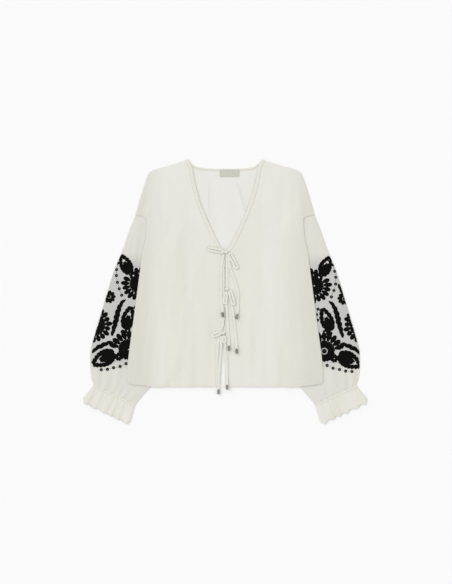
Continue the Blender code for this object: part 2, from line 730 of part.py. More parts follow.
def build_blouse():
    """Builds every piece, from the surface up."""
    for obj in list(bpy.data.objects):
        bpy.data.objects.remove(obj)
    for name, side in (("left", -1), ("right", 1)):
        build_sleeve("sleeve_" + name, side)
        build_wrist_casing("wrist_casing_" + name, side)
        build_ruffle("ruffle_" + name, side)
    build_back()
    build_label()
    build_front("front_left", -1)
    build_front("front_right", 1)
    build_bindings()
    for name, (across, up) in KNOTS.items():
        build_knot(f"tie_{name}_knot", across, up)
    for strap in STRAPS:
        build_strap(strap)
    for loop in LOOPS:
        build_loop(loop)


build_blouse()
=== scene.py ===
"""An embroidered blouse laid flat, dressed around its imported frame.

Metres in the frame's own axes: X across the blouse, Y from hem to neck, Z up from the surface.
Tables are in millimetres: "out" is the distance from the centre line, "across" is signed.
"""

import json
import logging
import math
from collections.abc import Callable, Iterable, Sequence
from dataclasses import dataclass, field
from enum import Enum

import bmesh
import bpy
import numpy as np
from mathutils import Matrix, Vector
from mathutils.bvhtree import BVHTree

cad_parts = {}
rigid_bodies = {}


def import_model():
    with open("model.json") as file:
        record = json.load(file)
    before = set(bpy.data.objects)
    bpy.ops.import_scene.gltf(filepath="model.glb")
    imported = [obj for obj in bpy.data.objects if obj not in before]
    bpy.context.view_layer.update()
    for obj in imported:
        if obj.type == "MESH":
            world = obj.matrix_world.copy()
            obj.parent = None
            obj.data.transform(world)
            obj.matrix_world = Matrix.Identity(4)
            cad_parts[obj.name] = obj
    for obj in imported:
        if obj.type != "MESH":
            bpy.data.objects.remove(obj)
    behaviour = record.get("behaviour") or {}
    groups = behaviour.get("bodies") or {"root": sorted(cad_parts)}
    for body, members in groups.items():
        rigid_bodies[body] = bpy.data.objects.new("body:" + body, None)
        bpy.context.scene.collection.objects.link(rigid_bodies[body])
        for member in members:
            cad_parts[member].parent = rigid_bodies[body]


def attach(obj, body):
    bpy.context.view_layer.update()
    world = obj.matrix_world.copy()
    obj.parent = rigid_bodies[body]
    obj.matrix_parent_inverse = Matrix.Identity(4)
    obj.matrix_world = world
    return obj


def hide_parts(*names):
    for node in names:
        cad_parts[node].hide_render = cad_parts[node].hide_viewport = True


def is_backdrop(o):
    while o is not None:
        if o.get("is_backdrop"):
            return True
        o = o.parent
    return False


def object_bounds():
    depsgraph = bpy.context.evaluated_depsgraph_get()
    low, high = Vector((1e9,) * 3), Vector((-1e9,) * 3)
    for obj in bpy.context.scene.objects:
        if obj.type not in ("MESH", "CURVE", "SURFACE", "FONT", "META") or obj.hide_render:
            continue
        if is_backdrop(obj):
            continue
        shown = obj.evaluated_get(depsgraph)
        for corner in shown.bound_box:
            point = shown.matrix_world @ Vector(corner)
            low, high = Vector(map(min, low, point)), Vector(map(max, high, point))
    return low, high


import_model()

log = logging.getLogger("blouse")

MM = 0.001
Points = np.ndarray
Colour = tuple[float, float, float]

# Cloth of the frame, and how the real cloth lies inside its walls
WALL = 1.0 * MM
GAP = 0.3 * MM
BOUND_EXTRA = 0.4 * MM
CLOTH = 0.36 * MM
BINDING_PLIES = 0.9 * MM
NECK_BINDING_WIDTH = 6.0 * MM
FRONT_BINDING_WIDTH = 9.5 * MM
SLEEVE_HEIGHT = 2.5 * MM
SLEEVE_PUFF = 2.1 * MM
BODY_OVER_SLEEVE = SLEEVE_HEIGHT + 0.4 * MM
FRONT_PUFF = 0.9 * MM
EDGE_PLAY = 0.2 * MM

# Wrist casing and ruffle
CASING_WIDTH = 7.0 * MM
CASING_HEIGHT = 3.0 * MM
RUFFLE_WAVES = 6
RUFFLE_HEIGHT = 2.6 * MM
RUFFLE_RISE = 2.3 * MM
RUFFLE_SCALLOP = 2.2 * MM
RUFFLE_REACH = 4.3 * MM
RUFFLE_CORNER = 4.2 * MM
# How far the lower ply's scallops are turned from the upper ply's, in radians
RUFFLE_OFFSET = 1.3
SHOULDER_GATHERS = 9
WRIST_GATHERS = 7

# Ties
TIE_WIDTH = 7.0 * MM
TIE_THICKNESS = 1.3 * MM
LOOP_STRAP_WIDTH = 6.2 * MM
LOOP_HALF_WIDTH = 3.6 * MM
KNOT_SIZE = (11.0 * MM, 10.0 * MM, 5.2 * MM)
CAP_RADIUS = 3.3 * MM
CAP_LENGTH = 13.0 * MM

NECK_POINT = (95.2, 344.3)
SHOULDER = (NECK_POINT, (143, 329.3), (177, 320.0), (192.5, 313.5), (200.5, 305.5))
DROPPED_SHOULDER = (SHOULDER[-1], (211, 275), (220.8, 244), (229.2, 213), (233.8, 197.6))
SHOULDER_CREASE = ((196, 303), (193, 272), (195, 226), (203.4, 189.9))
SIDE = (
    (206.5, 142.5), (214.0, 108.0), (219.0, 72.0), (229.0, -3.0), (241.5, -97.0), (249.5, -155.0),
    (254.0, -200.0), (254.5, -230.0),
)
HEM = ((252.0, -237.0), (236.0, -241.0), (206.0, -244.5), (190.0, -246.5))
HEM_UP = -246.5
V_EDGE = (
    NECK_POINT, (85.5, 322), (78.5, 285), (65.0, 235), (48.5, 194), (31.0, 155), (13.5, 121), (1.6, 104),
)
BACK_NECK = (NECK_POINT, (86.0, 334), (73.0, 325.5), (52.0, 321.8), (26.0, 320.2), (0.0, 319.8))
FRONT_EDGE_LEFT = ((1.0, 60), (1.0, -60), (5.0, -95), (13.0, -128), (16.0, -165), (16.5, HEM_UP))
FRONT_EDGE_RIGHT = ((1.0, 60), (1.0, -60), (1.0, -128), (1.0, HEM_UP))

# The flattened sleeve's cross lines: outer fold, hidden inner fold, and how far each line bows
SLEEVE = (
    (233.8, 197.0, 146.0, 118.0, 22), (248.5, 161.0, 141.0, 82.0, 12), (266.0, 111.0, 139.0, 50.0, 5),
    (289.0, 54.0, 137.0, 14.0, 0), (309.5, -12.0, 137.0, -48.0, 0), (333.0, -90.0, 141.0, -124.0, 0),
    (348.5, -146.0, 150.0, -184.0, 0), (350.5, -190.0, 169.0, -226.0, 0),
    (348.0, -222.0, 200.0, -254.0, 0), (342.0, -240.5, 232.0, -291.5, 0),
)
RUFFLE_OUTER = (372.0, -281.5)
RUFFLE_INNER = (247.0, -341.2)

# The folds of the frame: line from top to bottom, half width, height
FRONT_FOLDS = (
    (-182, 20, -205, -240, 11, 0.8), (-135, 60, -160, -240, 11, 0.9), (-100, 14, -134, -240, 10, 1.0),
    (-97, 14, -92, -244, 12, 1.6), (-52, -20, -56, -244, 12, 0.9), (-120, 290, -105, 60, 16, 0.6),
    (62, -10, 66, -244, 12, 0.9), (88, 70, 96, -244, 12, 1.1), (126, 60, 128, -240, 12, 1.2),
    (140, -110, 196, -215, 10, 1.0), (184, 40, 214, -240, 11, 0.8), (128, 290, 96, 60, 16, 0.6),
)
BACK_FOLDS = ((-43, 300, -42, 205, 7, 0.6), (29, 295, 56, 200, 8, 0.7))

# The finer creases that the cloth took in the parcel: ridges above, troughs below zero
FRONT_CREASES = (
    (-72, 322, -84, 236, 9, -0.30), (-112, 318, -118, 250, 12, -0.26), (-152, 312, -146, 214, 10, 0.30),
    (-168, 300, -163, 190, 8, -0.34), (-181, 292, -176, 168, 7, 0.36), (-100, 206, -136, 96, 11, 0.32),
    (-128, 222, -160, 120, 9, -0.30), (-64, 172, -96, 70, 10, -0.30), (-90, 42, -112, 2, 6, 0.42),
    (-66, 66, -80, -40, 9, -0.32), (-146, 24, -150, -96, 8, -0.36), (-172, 96, -176, -30, 7, 0.34),
    (-118, -30, -120, -150, 6, -0.40), (-108, -60, -106, -236, 5, 0.34), (-80, -60, -74, -238, 7, -0.34),
    (-150, -110, -148, -240, 7, -0.40), (-176, -120, -182, -238, 6, 0.34), (-196, -20, -214, -160, 6, -0.38),
    (-226, -120, -234, -226, 6, 0.32), (-42, -90, -38, -232, 6, -0.26), (-205, 88, -216, -24, 6, 0.30),
    (74, 324, 92, 248, 9, -0.28), (118, 316, 112, 226, 12, 0.28), (150, 310, 148, 222, 9, -0.30),
    (170, 304, 166, 184, 8, 0.34), (183, 292, 178, 176, 6, -0.36), (92, 206, 118, 104, 11, -0.30),
    (136, 214, 150, 92, 10, 0.30), (66, 150, 78, 40, 10, 0.26), (110, 52, 116, -70, 7, -0.36),
    (150, 66, 158, -60, 8, 0.34), (174, 92, 182, -44, 7, -0.34), (78, -30, 82, -180, 7, -0.34),
    (110, -80, 108, -238, 6, -0.36), (142, -20, 148, -120, 7, 0.36), (152, -118, 186, -182, 5, -0.46),
    (164, -60, 176, -150, 6, 0.30), (202, -10, 212, -130, 7, -0.34), (222, -110, 238, -222, 6, 0.32),
    (150, -190, 152, -240, 8, -0.30), (46, -80, 50, -238, 6, -0.26), (206, 84, 214, -10, 6, 0.28),
)
BACK_CREASES = (
    (-20, 298, -14, 150, 8, -0.24), (8, 292, 22, 170, 9, 0.22), (-62, 306, -52, 226, 7, 0.26),
    (56, 300, 62, 232, 6, -0.26), (-4, 240, -2, 120, 6, 0.20), (34, 226, 22, 150, 5, -0.22),
    (-47, 286, -46, 214, 4.5, 0.65), (26, 290, 51, 203, 5.0, 1.05), (8, 268, 14, 196, 4.4, 0.45),
    (-120, 200, -128, -220, 16, -0.3), (120, 180, 124, -230, 16, -0.3), (-60, 60, -66, -230, 14, 0.3),
    (60, 80, 70, -236, 14, 0.3),
)
SLEEVE_CREASES = (
    (246, 168, 262, 112, 4.5, 0.75), (236, 164, 244, 104, 4.0, -0.60), (226, 156, 232, 92, 4.0, 0.70),
    (255, 150, 270, 96, 4.0, -0.55), (219, 142, 224, 82, 3.5, -0.50), (262, 120, 280, 58, 6.0, 0.50),
    (246, 96, 256, 30, 8.0, -0.45), (300, 10, 322, -70, 9.0, 0.50), (268, 20, 286, -60, 10.0, 0.40),
    (320, -60, 338, -130, 8.0, -0.45), (292, -84, 304, -160, 9.0, -0.40), (270, -110, 272, -186, 8.0, 0.50),
    (330, -168, 337, -232, 4.5, 0.75), (318, -176, 322, -240, 4.0, -0.65), (306, -180, 309, -246, 4.5, 0.80),
    (294, -186, 295, -250, 4.0, -0.70), (280, -190, 280, -256, 4.5, 0.75), (268, -196, 266, -262, 3.5, -0.60),
    (254, -222, 254, -270, 4.0, 0.60), (343, -180, 344, -224, 3.5, -0.5),
)

KNOTS = {"top": (2.3, 103.5), "middle": (4.9, 7.3), "low": (-5.5, -107.1)}
STRAPS = {
    "tie_top_left": ((-3.6, 96.6), (-8.6, 74), (-10.4, 40), (-10.7, 5), (-8.8, -28), (-7.0, -52.4)),
    "tie_top_right": (
        (8.2, 96.6), (11.0, 73), (17.0, 50), (27.0, 26), (33.6, -2), (33.6, -34), (31.4, -57.4),
    ),
    "tie_middle_left": ((0.9, -0.4), (2.6, -34), (6.4, -73), (8.8, -112), (9.7, -139.5)),
    "tie_middle_right": ((10.6, -0.4), (17.4, -34), (23.0, -73), (27.6, -112), (29.6, -147.3)),
    "tie_low_left": ((-9.8, -114.6), (-11.4, -151), (-14.6, -198), (-16.4, -229), (-17.0, -252.9)),
    "tie_low_right": ((-1.0, -114.6), (0.6, -151), (4.2, -198), (5.1, -240.9)),
}
LOOPS = {
    "tie_top_loop_left": (-5.8, 104.4, -44.0, 112.0),
    "tie_top_loop_right": (11.2, 99.5, 31.0, 62.0),
    "tie_middle_loop_left": (1.2, -2.2, -0.6, -30.0),
    "tie_middle_loop_right": (12.8, 1.2, 21.5, -33.0),
    "tie_low_loop_left": (-13.6, -107.5, -34.0, -114.0),
    "tie_low_loop_right": (-2.6, -116.2, -2.4, -131.5),
}
FLOOR_CAP = "tie_low_left"

# The neck label, across and up, and how much of each end is turned under
LABEL_ACROSS = (-13.3 * MM, 36.1 * MM)
LABEL_UP = (299.5 * MM, 318.6 * MM)
LABEL_TURNING = 3.2 * MM

# How far the right sleeve's embroidery lies from the left one's pattern, in millimetres out and up
RIGHT_SHIFT = (7.5, -4.5)


class Side(Enum):
    """The garment's left and right, as seen from above with the neck up."""

    LEFT = -1
    RIGHT = 1

    @property
    def word(self) -> str:
        """The side's word in the pieces' names."""
        return self.name.lower()

    def turn(self, points: Points) -> Points:
        """Half-plan points brought to this side."""
        return np.asarray(points) * (self.value, 1.0)


def smooth_step(t: Points | float) -> Points:
    """0 below 0, 1 above 1, and a smooth ramp between."""
    t = np.clip(t, 0.0, 1.0)
    return t * t * (3.0 - 2.0 * t)


def metres(places: Iterable[Sequence[float]]) -> Points:
    """A table of places in millimetres as plan points in metres."""
    return np.array([(p[0], p[1]) for p in places], float) * MM


def along(points: Points) -> Points:
    """How far along a line each of its points is."""
    return np.concatenate([[0.0], np.cumsum(np.linalg.norm(np.diff(points, axis=0), axis=1))])


def curve_through(points: Points, at: Points) -> Points:
    """The smooth curve through the points, read at fractional point numbers.

    Args:
        points: The points, one row each.
        at: The point numbers, whole or fractional.

    Returns:
        One row for each number.
    """
    points, at = np.asarray(points, float), np.asarray(at, float)
    padded = np.vstack([2 * points[0] - points[1], points, 2 * points[-1] - points[-2]])
    k = np.clip(at.astype(int), 0, len(points) - 2)
    t = (at - k)[:, None]
    a, b, c, d = (padded[k + i] for i in range(4))
    return 0.5 * (2 * b + (c - a) * t + (2 * a - 5 * b + 4 * c - d) * t**2 + (3 * b - a - 3 * c + d) * t**3)


def evenly(points: Points, step: float) -> Points:
    """The smooth curve through the points, with points about step apart."""
    fine = curve_through(points, np.linspace(0, len(points) - 1, 24 * (len(points) - 1) + 1))
    return shared_out(fine, max(2, round(along(fine)[-1] / step) + 1))


def shared_out(line: Points, count: int) -> Points:
    """A line of straight runs with count evenly spaced points."""
    length = along(line)
    stops = np.linspace(0, length[-1], count)
    return np.stack([np.interp(stops, length, line[:, k]) for k in range(line.shape[1])], axis=1)


def distance_to(line: Points, x: Points, y: Points) -> Points:
    """How far each point is from a line of straight runs."""
    p = np.stack([np.ravel(x), np.ravel(y)], axis=1)
    nearest = np.full(len(p), np.inf)
    for a, b in zip(line[:-1], line[1:]):
        d = b - a
        t = np.clip(((p - a) @ d) / max(d @ d, 1e-12), 0, 1)
        nearest = np.minimum(nearest, np.linalg.norm(p - a - t[:, None] * d, axis=1))
    return nearest.reshape(np.shape(x))


def inside(outline: Points, x: Points, y: Points) -> Points:
    """Whether each point is inside a closed outline."""
    crossings = np.zeros(np.shape(x), int)
    for (x0, y0), (x1, y1) in zip(outline, np.roll(outline, -1, axis=0)):
        spans = (y0 > y) != (y1 > y)
        crossings += spans & (x < (x1 - x0) * (y - y0) / (y1 - y0 + (y1 == y0)) + x0)
    return crossings % 2 == 1


def sleeve_line(at: float, share: Points) -> Points:
    """Plan points of the sleeve at one cross line, at shares 0 outer fold to 1 inner fold."""
    row = curve_through(np.array(SLEEVE, float), [at])[0] * MM
    share = np.asarray(share, float)[:, None]
    line = (1 - share) * row[0:2] + share * row[2:4]
    line[:, 1] += 4 * row[4] * (share * (1 - share))[:, 0]
    return line


ARMHOLE = sleeve_line(0.0, np.linspace(0, 1, 27))
SEAM_EDGE = ARMHOLE[:10] + (0, GAP)
OUTER_EDGE = np.vstack(
    [evenly(metres(DROPPED_SHOULDER), 5 * MM)[:-1], SEAM_EDGE[:-1]]
    + [evenly(np.vstack([SEAM_EDGE[-1:], metres(SIDE)]), 5 * MM)]
)
SHOULDER_EDGE = evenly(metres(SHOULDER), 5 * MM)
HEM_CORNER = evenly(metres((SIDE[-1],) + HEM), 5 * MM)
EDGE = np.vstack([SHOULDER_EDGE[:-1], OUTER_EDGE[:-1], HEM_CORNER])
BODY_SHADOW = np.vstack([EDGE, [(0.0, HEM_UP * MM), (0.0, NECK_POINT[1] * MM)]])


def fold_height(folds: Iterable[Sequence[float]], x: Points, y: Points) -> Points:
    """The height that a table of folds adds at plan points."""
    total = np.zeros(np.shape(x))
    for top_across, top_up, low_across, low_up, half_width, height in folds:
        share = (top_up * MM - y) / ((top_up - low_up) * MM)
        line = (top_across + (low_across - top_across) * np.clip(share, 0, 1)) * MM
        width = half_width * MM * (0.7 + 0.5 * np.clip(share, 0, 1))
        fade = smooth_step(share / 0.35) * smooth_step((1.15 - share) / 0.15)
        total += height * MM * fade * np.exp(-(((x - line) / width) ** 2))
    return total


def crease_out(y: Points) -> Points:
    """How far out the pressed crease of the dropped shoulder lies."""
    rows = metres(SHOULDER_CREASE)[::-1]
    return np.interp(y, rows[:, 1], rows[:, 0])


def back_low(x: Points, y: Points) -> Points:
    """The underside of the back's wall: on the surface, lifted where it lies over a sleeve."""
    out = np.abs(x)
    rows = metres((s[2], s[3]) for s in SLEEVE)[::-1]
    inner = np.interp(y, rows[:, 1], rows[:, 0])
    seam = np.interp(out, ARMHOLE[::-1, 0], ARMHOLE[::-1, 1])
    over = smooth_step((out - inner + 0.048) / 0.032)
    below = smooth_step((seam + 0.070 - y) / 0.050)
    within = np.where(y > seam, smooth_step((crease_out(y) + 0.014 - out) / 0.014), 1.0)
    return BODY_OVER_SLEEVE * over * below * within + fold_height(BACK_FOLDS, x, y)


def front_low(x: Points, y: Points) -> Points:
    """The underside of a front's wall: close to the back at the edges, puffed and folded between."""
    out = np.abs(x)
    edge = distance_to(EDGE, out, y)
    beyond = (y > SHOULDER_CREASE[-1][1] * MM) * smooth_step((out - crease_out(y)) / 0.006)
    puff = FRONT_PUFF * smooth_step(edge / 0.035) * (1 - 0.9 * beyond)
    folds = fold_height(FRONT_FOLDS, x, y) * smooth_step((edge + 0.008) / 0.03)
    return back_low(x, y) + WALL + GAP + EDGE_PLAY + puff + folds


def rest_height(x: Points, y: Points, reach: float) -> Points:
    """How high the bound fronts come within reach of plan points."""
    angles = np.linspace(0, 2 * math.pi, 9)[:-1]
    spots = [front_low(x + reach * math.cos(a), y + reach * math.sin(a)) for a in angles]
    return np.max([front_low(x, y)] + spots, axis=0) + WALL + BOUND_EXTRA


def uneven(x: Points, y: Points, wavelength: float) -> Points:
    """A gentle unevenness from -1 to 1, longer down the cloth than across it."""
    u, v = 2 * math.pi * x / wavelength, 2 * math.pi * y / (3.2 * wavelength)
    waves = np.sin(u + 1.7 * np.sin(0.8 * v + 0.3)) * np.sin(0.9 * v + 0.6 * np.sin(0.55 * u))
    return 0.6 * waves + 0.4 * np.sin(1.9 * u - 1.1 * v + 1.3 * np.sin(0.7 * v)) * np.sin(0.63 * v + 1.0)


@dataclass
class Value:
    """A socket of a material's nodes, with Python's operators as Math nodes."""

    paint: "Paint"
    socket: bpy.types.NodeSocket

    def math(self, operation: str, *others: "Value | float") -> "Value":
        """This value and others through one Math node."""
        return self.paint.node("ShaderNodeMath", {"operation": operation}, dict(enumerate((self, *others))))

    def __add__(self, other: "Value | float") -> "Value":
        """Sum."""
        return self.math("ADD", other)

    __radd__ = __add__

    def __mul__(self, other: "Value | float") -> "Value":
        """Product."""
        return self.math("MULTIPLY", other)

    __rmul__ = __mul__

    def __sub__(self, other: "Value | float") -> "Value":
        """Difference."""
        return self.math("SUBTRACT", other)

    def __rsub__(self, other: float) -> "Value":
        """Difference from a number."""
        return (self * -1.0) + other

    def sine(self) -> "Value":
        """Its sine."""
        return self.math("SINE")

    def size(self) -> "Value":
        """Its absolute value."""
        return self.math("ABSOLUTE")

    def between(self, low: float, high: float) -> "Value":
        """0 at low and 1 at high, with a smooth ramp between."""
        settings = {"interpolation_type": "SMOOTHSTEP"}
        return self.paint.node("ShaderNodeMapRange", settings, {0: self, 1: low, 2: high})

    def stripes(self, pitch: float) -> "Value":
        """Soft stripes along it from 0 to 1, one for each pitch."""
        return (self * (2 * math.pi / pitch)).sine() * 0.5 + 0.5


class Paint:
    """The nodes of one material."""

    def __init__(self, name: str) -> None:
        """Starts a material with its Principled shader."""
        self.material = bpy.data.materials.new(name)
        self.material.use_nodes = True
        self.tree = self.material.node_tree
        self.shader = self.tree.nodes["Principled BSDF"]

    def node(self, kind: str, settings: dict | None = None, values: dict | None = None,
             out: int | str = 0) -> Value:
        """Adds a node: its settings first, then its sockets' values or links.

        Args:
            kind: The node's type.
            settings: Its own settings by name.
            values: What its inputs get, by number or name.
            out: The output that is returned.

        Returns:
            The output as a Value.
        """
        node = self.tree.nodes.new(kind)
        for key, setting in (settings or {}).items():
            setattr(node, key, setting)
        for key, value in (values or {}).items():
            self.feed(node.inputs[key], value)
        return Value(self, node.outputs[out])

    def feed(self, socket: bpy.types.NodeSocket, value: object) -> None:
        """Links a Value to a socket, or sets the socket's own number or colour."""
        if isinstance(value, Value):
            self.tree.links.new(value.socket, socket)
        elif isinstance(value, tuple) and socket.type == "RGBA":
            socket.default_value = (*value[:3], 1.0)
        else:
            socket.default_value = value

    def finish(self, **sockets: object) -> bpy.types.Material:
        """Feeds the shader's sockets, named with _ for a space, and returns the material."""
        for name, value in sockets.items():
            self.feed(self.shader.inputs[name.replace("_", " ")], value)
        return self.material

    def place(self) -> Value:
        """The point in the object's own coordinates."""
        return self.node("ShaderNodeTexCoord", out="Object")

    def grain(self) -> Value:
        """The point on the cloth, in metres across and along its threads."""
        return self.node("ShaderNodeUVMap", {"uv_map": "cloth"})

    def parts(self, point: Value) -> tuple[Value, Value]:
        """The first two coordinates of a point."""
        split = self.node("ShaderNodeSeparateXYZ", {}, {0: point})
        return split, Value(self, split.socket.node.outputs[1])

    def noise(self, point: Value, scale: float, detail: float = 3.0,
              stretch: tuple = (1.0, 1.0, 1.0)) -> Value:
        """A noise over a point, stretched along its axes."""
        spread = self.node("ShaderNodeVectorMath", {"operation": "MULTIPLY"}, {0: point, 1: stretch})
        values = {"Vector": spread, "Scale": scale, "Detail": detail, "Roughness": 0.55}
        return self.node("ShaderNodeTexNoise", {}, values)

    def mix(self, share: Value | float, first: object, second: object) -> Value:
        """A colour between two."""
        return self.node("ShaderNodeMix", {"data_type": "RGBA"}, {0: share, 6: first, 7: second}, out=2)

    def bump(self, height: Value, distance: float, strength: float = 1.0,
             under: Value | None = None) -> Value:
        """A normal bumped by a height, over another bumped normal or the plain one."""
        values = {"Height": height, "Distance": distance, "Strength": strength}
        if under is not None:
            values["Normal"] = under
        return self.node("ShaderNodeBump", {}, values)

    def weave(self, point: Value) -> Value:
        """A plain weave: threads over and under each other."""
        u, v = self.parts(point)
        across, down = (u * (math.pi / YARN_PITCH)).sine(), (v * (math.pi / YARN_PITCH)).sine()
        over = (across * down).between(-0.35, 0.35)
        return over * across.size() + (1.0 - over) * down.size()


# The cotton's yarn pitch, and what its finishes have in common
YARN_PITCH = 0.42 * MM
SHEER = {"Sheen_Weight": 0.18, "Sheen_Roughness": 0.45, "Sheen_Tint": (1.0, 0.98, 0.93),
         "Specular_IOR_Level": 0.22}

# Where the voile's tone changes, each as a ramp's start and end in metres, and the tones
EMBROIDERED_LOW, EMBROIDERED_HIGH = (-0.210, -0.175), (0.060, 0.108)
UPPER_BODY, UPPER_TONE = (0.040, 0.290), (0.812, 0.813, 0.764)
# Over the sleeve the fronts darken: painted shade along the body's sides, and the sleeve's plies beneath the
# cloth
OVER_SLEEVE, DOUBLED_PLY_AND_SHADE_TONE = (0.150, 0.232), (0.700, 0.675, 0.600)
# Below here the back's single ply gets painted light, lifting the shade in the slit between the lower fronts
LOW_SLIT = (-0.135, -0.100)
# Where the back's creases get painted shade, and the grey of that shade
CREASE_LOW, CREASE_HIGH, CREASE_SHADE_TONE = (0.120, 0.230), (0.270, 0.300), (0.748, 0.742, 0.735)

# The back's creases with painted shade: lean, place across at the origin's height, core, edge, strength
SHADED_CREASES = ((0.287, 0.1131, 0.0010, 0.0070, 0.62), (0.0, -0.0427, 0.0005, 0.0045, 0.34))


@dataclass(frozen=True)
class Voile:
    """Cream cotton voile: a fine plain weave with slubs, soft wrinkles and uneven density, and where asked
    painted shade at the body's sides and the back's creases and painted light in its low slit.
    """

    name: str = "voile"
    colour: Colour = (0.815, 0.795, 0.715)
    shade: Colour = (0.765, 0.742, 0.655)
    ground: Colour | None = None
    beside: float = 0.0
    open_weave: Colour = (0.815, 0.806, 0.758)
    below: Colour | None = None

    def material(self) -> bpy.types.Material:
        """Builds the voile."""
        paint = Paint(self.name)
        grain, place = paint.grain(), paint.place()
        slub = paint.noise(grain, 900.0, 2.0, (1.0, 0.09, 1.0)).between(0.52, 0.78)
        cross_slub = paint.noise(grain, 820.0, 2.0, (0.08, 1.0, 1.0)).between(0.56, 0.80)
        cloud = paint.noise(place, 9.0, 4.0, (1.0, 0.45, 1.0)).between(0.30, 0.70)
        density = cloud * 0.6 + slub * 0.28 + cross_slub * 0.2
        colour = paint.mix(density, self.colour, self.shade)
        bands = paint.noise(place, 13.0, 2.0, (1.0, 0.13, 1.0)).between(0.42, 0.62)
        colour = paint.mix(bands * 0.55, colour, self.open_weave)
        across, up = paint.parts(place)
        if self.ground:
            band = up.between(*EMBROIDERED_LOW) * (1.0 - up.between(*EMBROIDERED_HIGH))
            colour = paint.mix(band * (0.86 + 0.14 * cloud), colour, self.ground)
        if self.beside:
            colour = paint.mix(up.between(*UPPER_BODY) * (0.45 + 0.35 * cloud), colour, UPPER_TONE)
            # Painted shade along the body's sides, darker too for the sleeve's plies under the cloth
            colour = paint.mix(across.size().between(*OVER_SLEEVE) * self.beside, colour, DOUBLED_PLY_AND_SHADE_TONE)
        if self.below:
            # Painted light on the back below the low slit, lifting the shade between the lower fronts
            colour = paint.mix(1.0 - up.between(*LOW_SLIT), colour, self.below)
            # Painted shade along two of the back's creases
            slanting, upright = (
                (1.0 - (across + up * lean - foot).size().between(core, edge)) * strength
                for lean, foot, core, edge, strength in SHADED_CREASES)
            reach = (1.0 - up.between(*CREASE_HIGH)) * up.between(*CREASE_LOW)
            colour = paint.mix((slanting + upright) * reach, colour, CREASE_SHADE_TONE)
        weave = paint.weave(grain) + (slub + cross_slub) * 0.5
        streaks = paint.noise(place, 42.0, 3.0, (1.0, 0.16, 1.0))
        crumple = paint.noise(place, 24.0, 5.0, (1.0, 0.5, 1.0))
        soft = paint.bump(streaks + crumple * 0.8, 2.2 * MM, 0.6)
        normal = paint.bump(weave, 0.10 * MM, 0.5, soft)
        return paint.finish(Base_Color=colour, Roughness=0.86 + 0.1 * cloud, Normal=normal, **SHEER)


@dataclass(frozen=True)
class FoldedBinding:
    """The same voile folded in several plies and pressed, with a stitched, faintly puckered face."""

    name: str = "binding"
    colour: Colour = (0.818, 0.799, 0.724)
    shade: Colour = (0.776, 0.755, 0.676)

    def material(self) -> bpy.types.Material:
        """Builds the binding."""
        paint = Paint(self.name)
        grain, place = paint.grain(), paint.place()
        pucker = paint.noise(place, 160.0, 3.0)
        cloud = paint.noise(place, 30.0, 3.0).between(0.3, 0.7)
        slub = paint.noise(grain, 900.0, 2.0, (0.12, 1.0, 1.0)).between(0.5, 0.8)
        weave = paint.weave(grain)
        colour = paint.mix(cloud * 0.6 + slub * 0.4, self.colour, self.shade)
        soft = paint.bump(pucker, 1.2 * MM, 0.5)
        normal = paint.bump(weave + slub * 0.5, 0.10 * MM, 0.6, soft)
        return paint.finish(Base_Color=colour, Roughness=0.84 + 0.12 * cloud, Normal=normal, **SHEER)


@dataclass(frozen=True)
class LabelTape:
    """Plain woven satin tape in a greyed cream."""

    name: str = "label_tape"
    colour: Colour = (0.640, 0.630, 0.560)
    shade: Colour = (0.560, 0.545, 0.470)

    def material(self) -> bpy.types.Material:
        """Builds the tape."""
        paint = Paint(self.name)
        grain = paint.grain()
        u, v = paint.parts(grain)
        ribs = v.stripes(0.35 * MM)
        twill = (u + v).stripes(0.9 * MM)
        worn = paint.noise(grain, 220.0, 3.0).between(0.3, 0.75)
        colour = paint.mix(worn * 0.7 + twill * 0.3, self.colour, self.shade)
        normal = paint.bump(ribs + twill * 0.4, 0.08 * MM, 0.7)
        return paint.finish(Base_Color=colour, Roughness=0.50 + 0.2 * worn, Normal=normal, Sheen_Weight=0.1)


@dataclass(frozen=True)
class SatinThread:
    """Embroidery thread laid side by side, its sheen broken by the stitches."""

    name: str = "satin_thread"
    colour: Colour = (0.0022, 0.0021, 0.0017)
    shade: Colour = (0.0058, 0.0055, 0.0046)

    def material(self) -> bpy.types.Material:
        """Builds the thread."""
        paint = Paint(self.name)
        grain, place = paint.grain(), paint.place()
        u, v = paint.parts(grain)
        sway = paint.noise(grain, 260.0, 2.0)
        threads = (u + v * 0.5 + sway * (0.6 * MM)).stripes(0.62 * MM)
        dust = paint.noise(place, 400.0, 3.0).between(0.55, 0.8)
        colour = paint.mix(threads * 0.6 + dust * 0.4, self.colour, self.shade)
        normal = paint.bump(threads, 0.16 * MM, 0.9)
        return paint.finish(Base_Color=colour, Roughness=0.66 + 0.2 * dust, Normal=normal,
                            Specular_IOR_Level=0.06)


@dataclass(frozen=True)
class SewingThread:
    """Fine cream sewing thread, twisted."""

    name: str = "sewing_thread"
    colour: Colour = (0.740, 0.715, 0.630)
    shade: Colour = (0.600, 0.575, 0.490)

    def material(self) -> bpy.types.Material:
        """Builds the thread."""
        paint = Paint(self.name)
        place = paint.place()
        x, y = paint.parts(place)
        twist = (x + y).stripes(0.5 * MM)
        fuzz = paint.noise(place, 1500.0, 2.0)
        colour = paint.mix(twist * 0.7 + fuzz * 0.3, self.shade, self.colour)
        return paint.finish(Base_Color=colour, Roughness=0.7, Normal=paint.bump(twist, 0.05 * MM, 0.8))


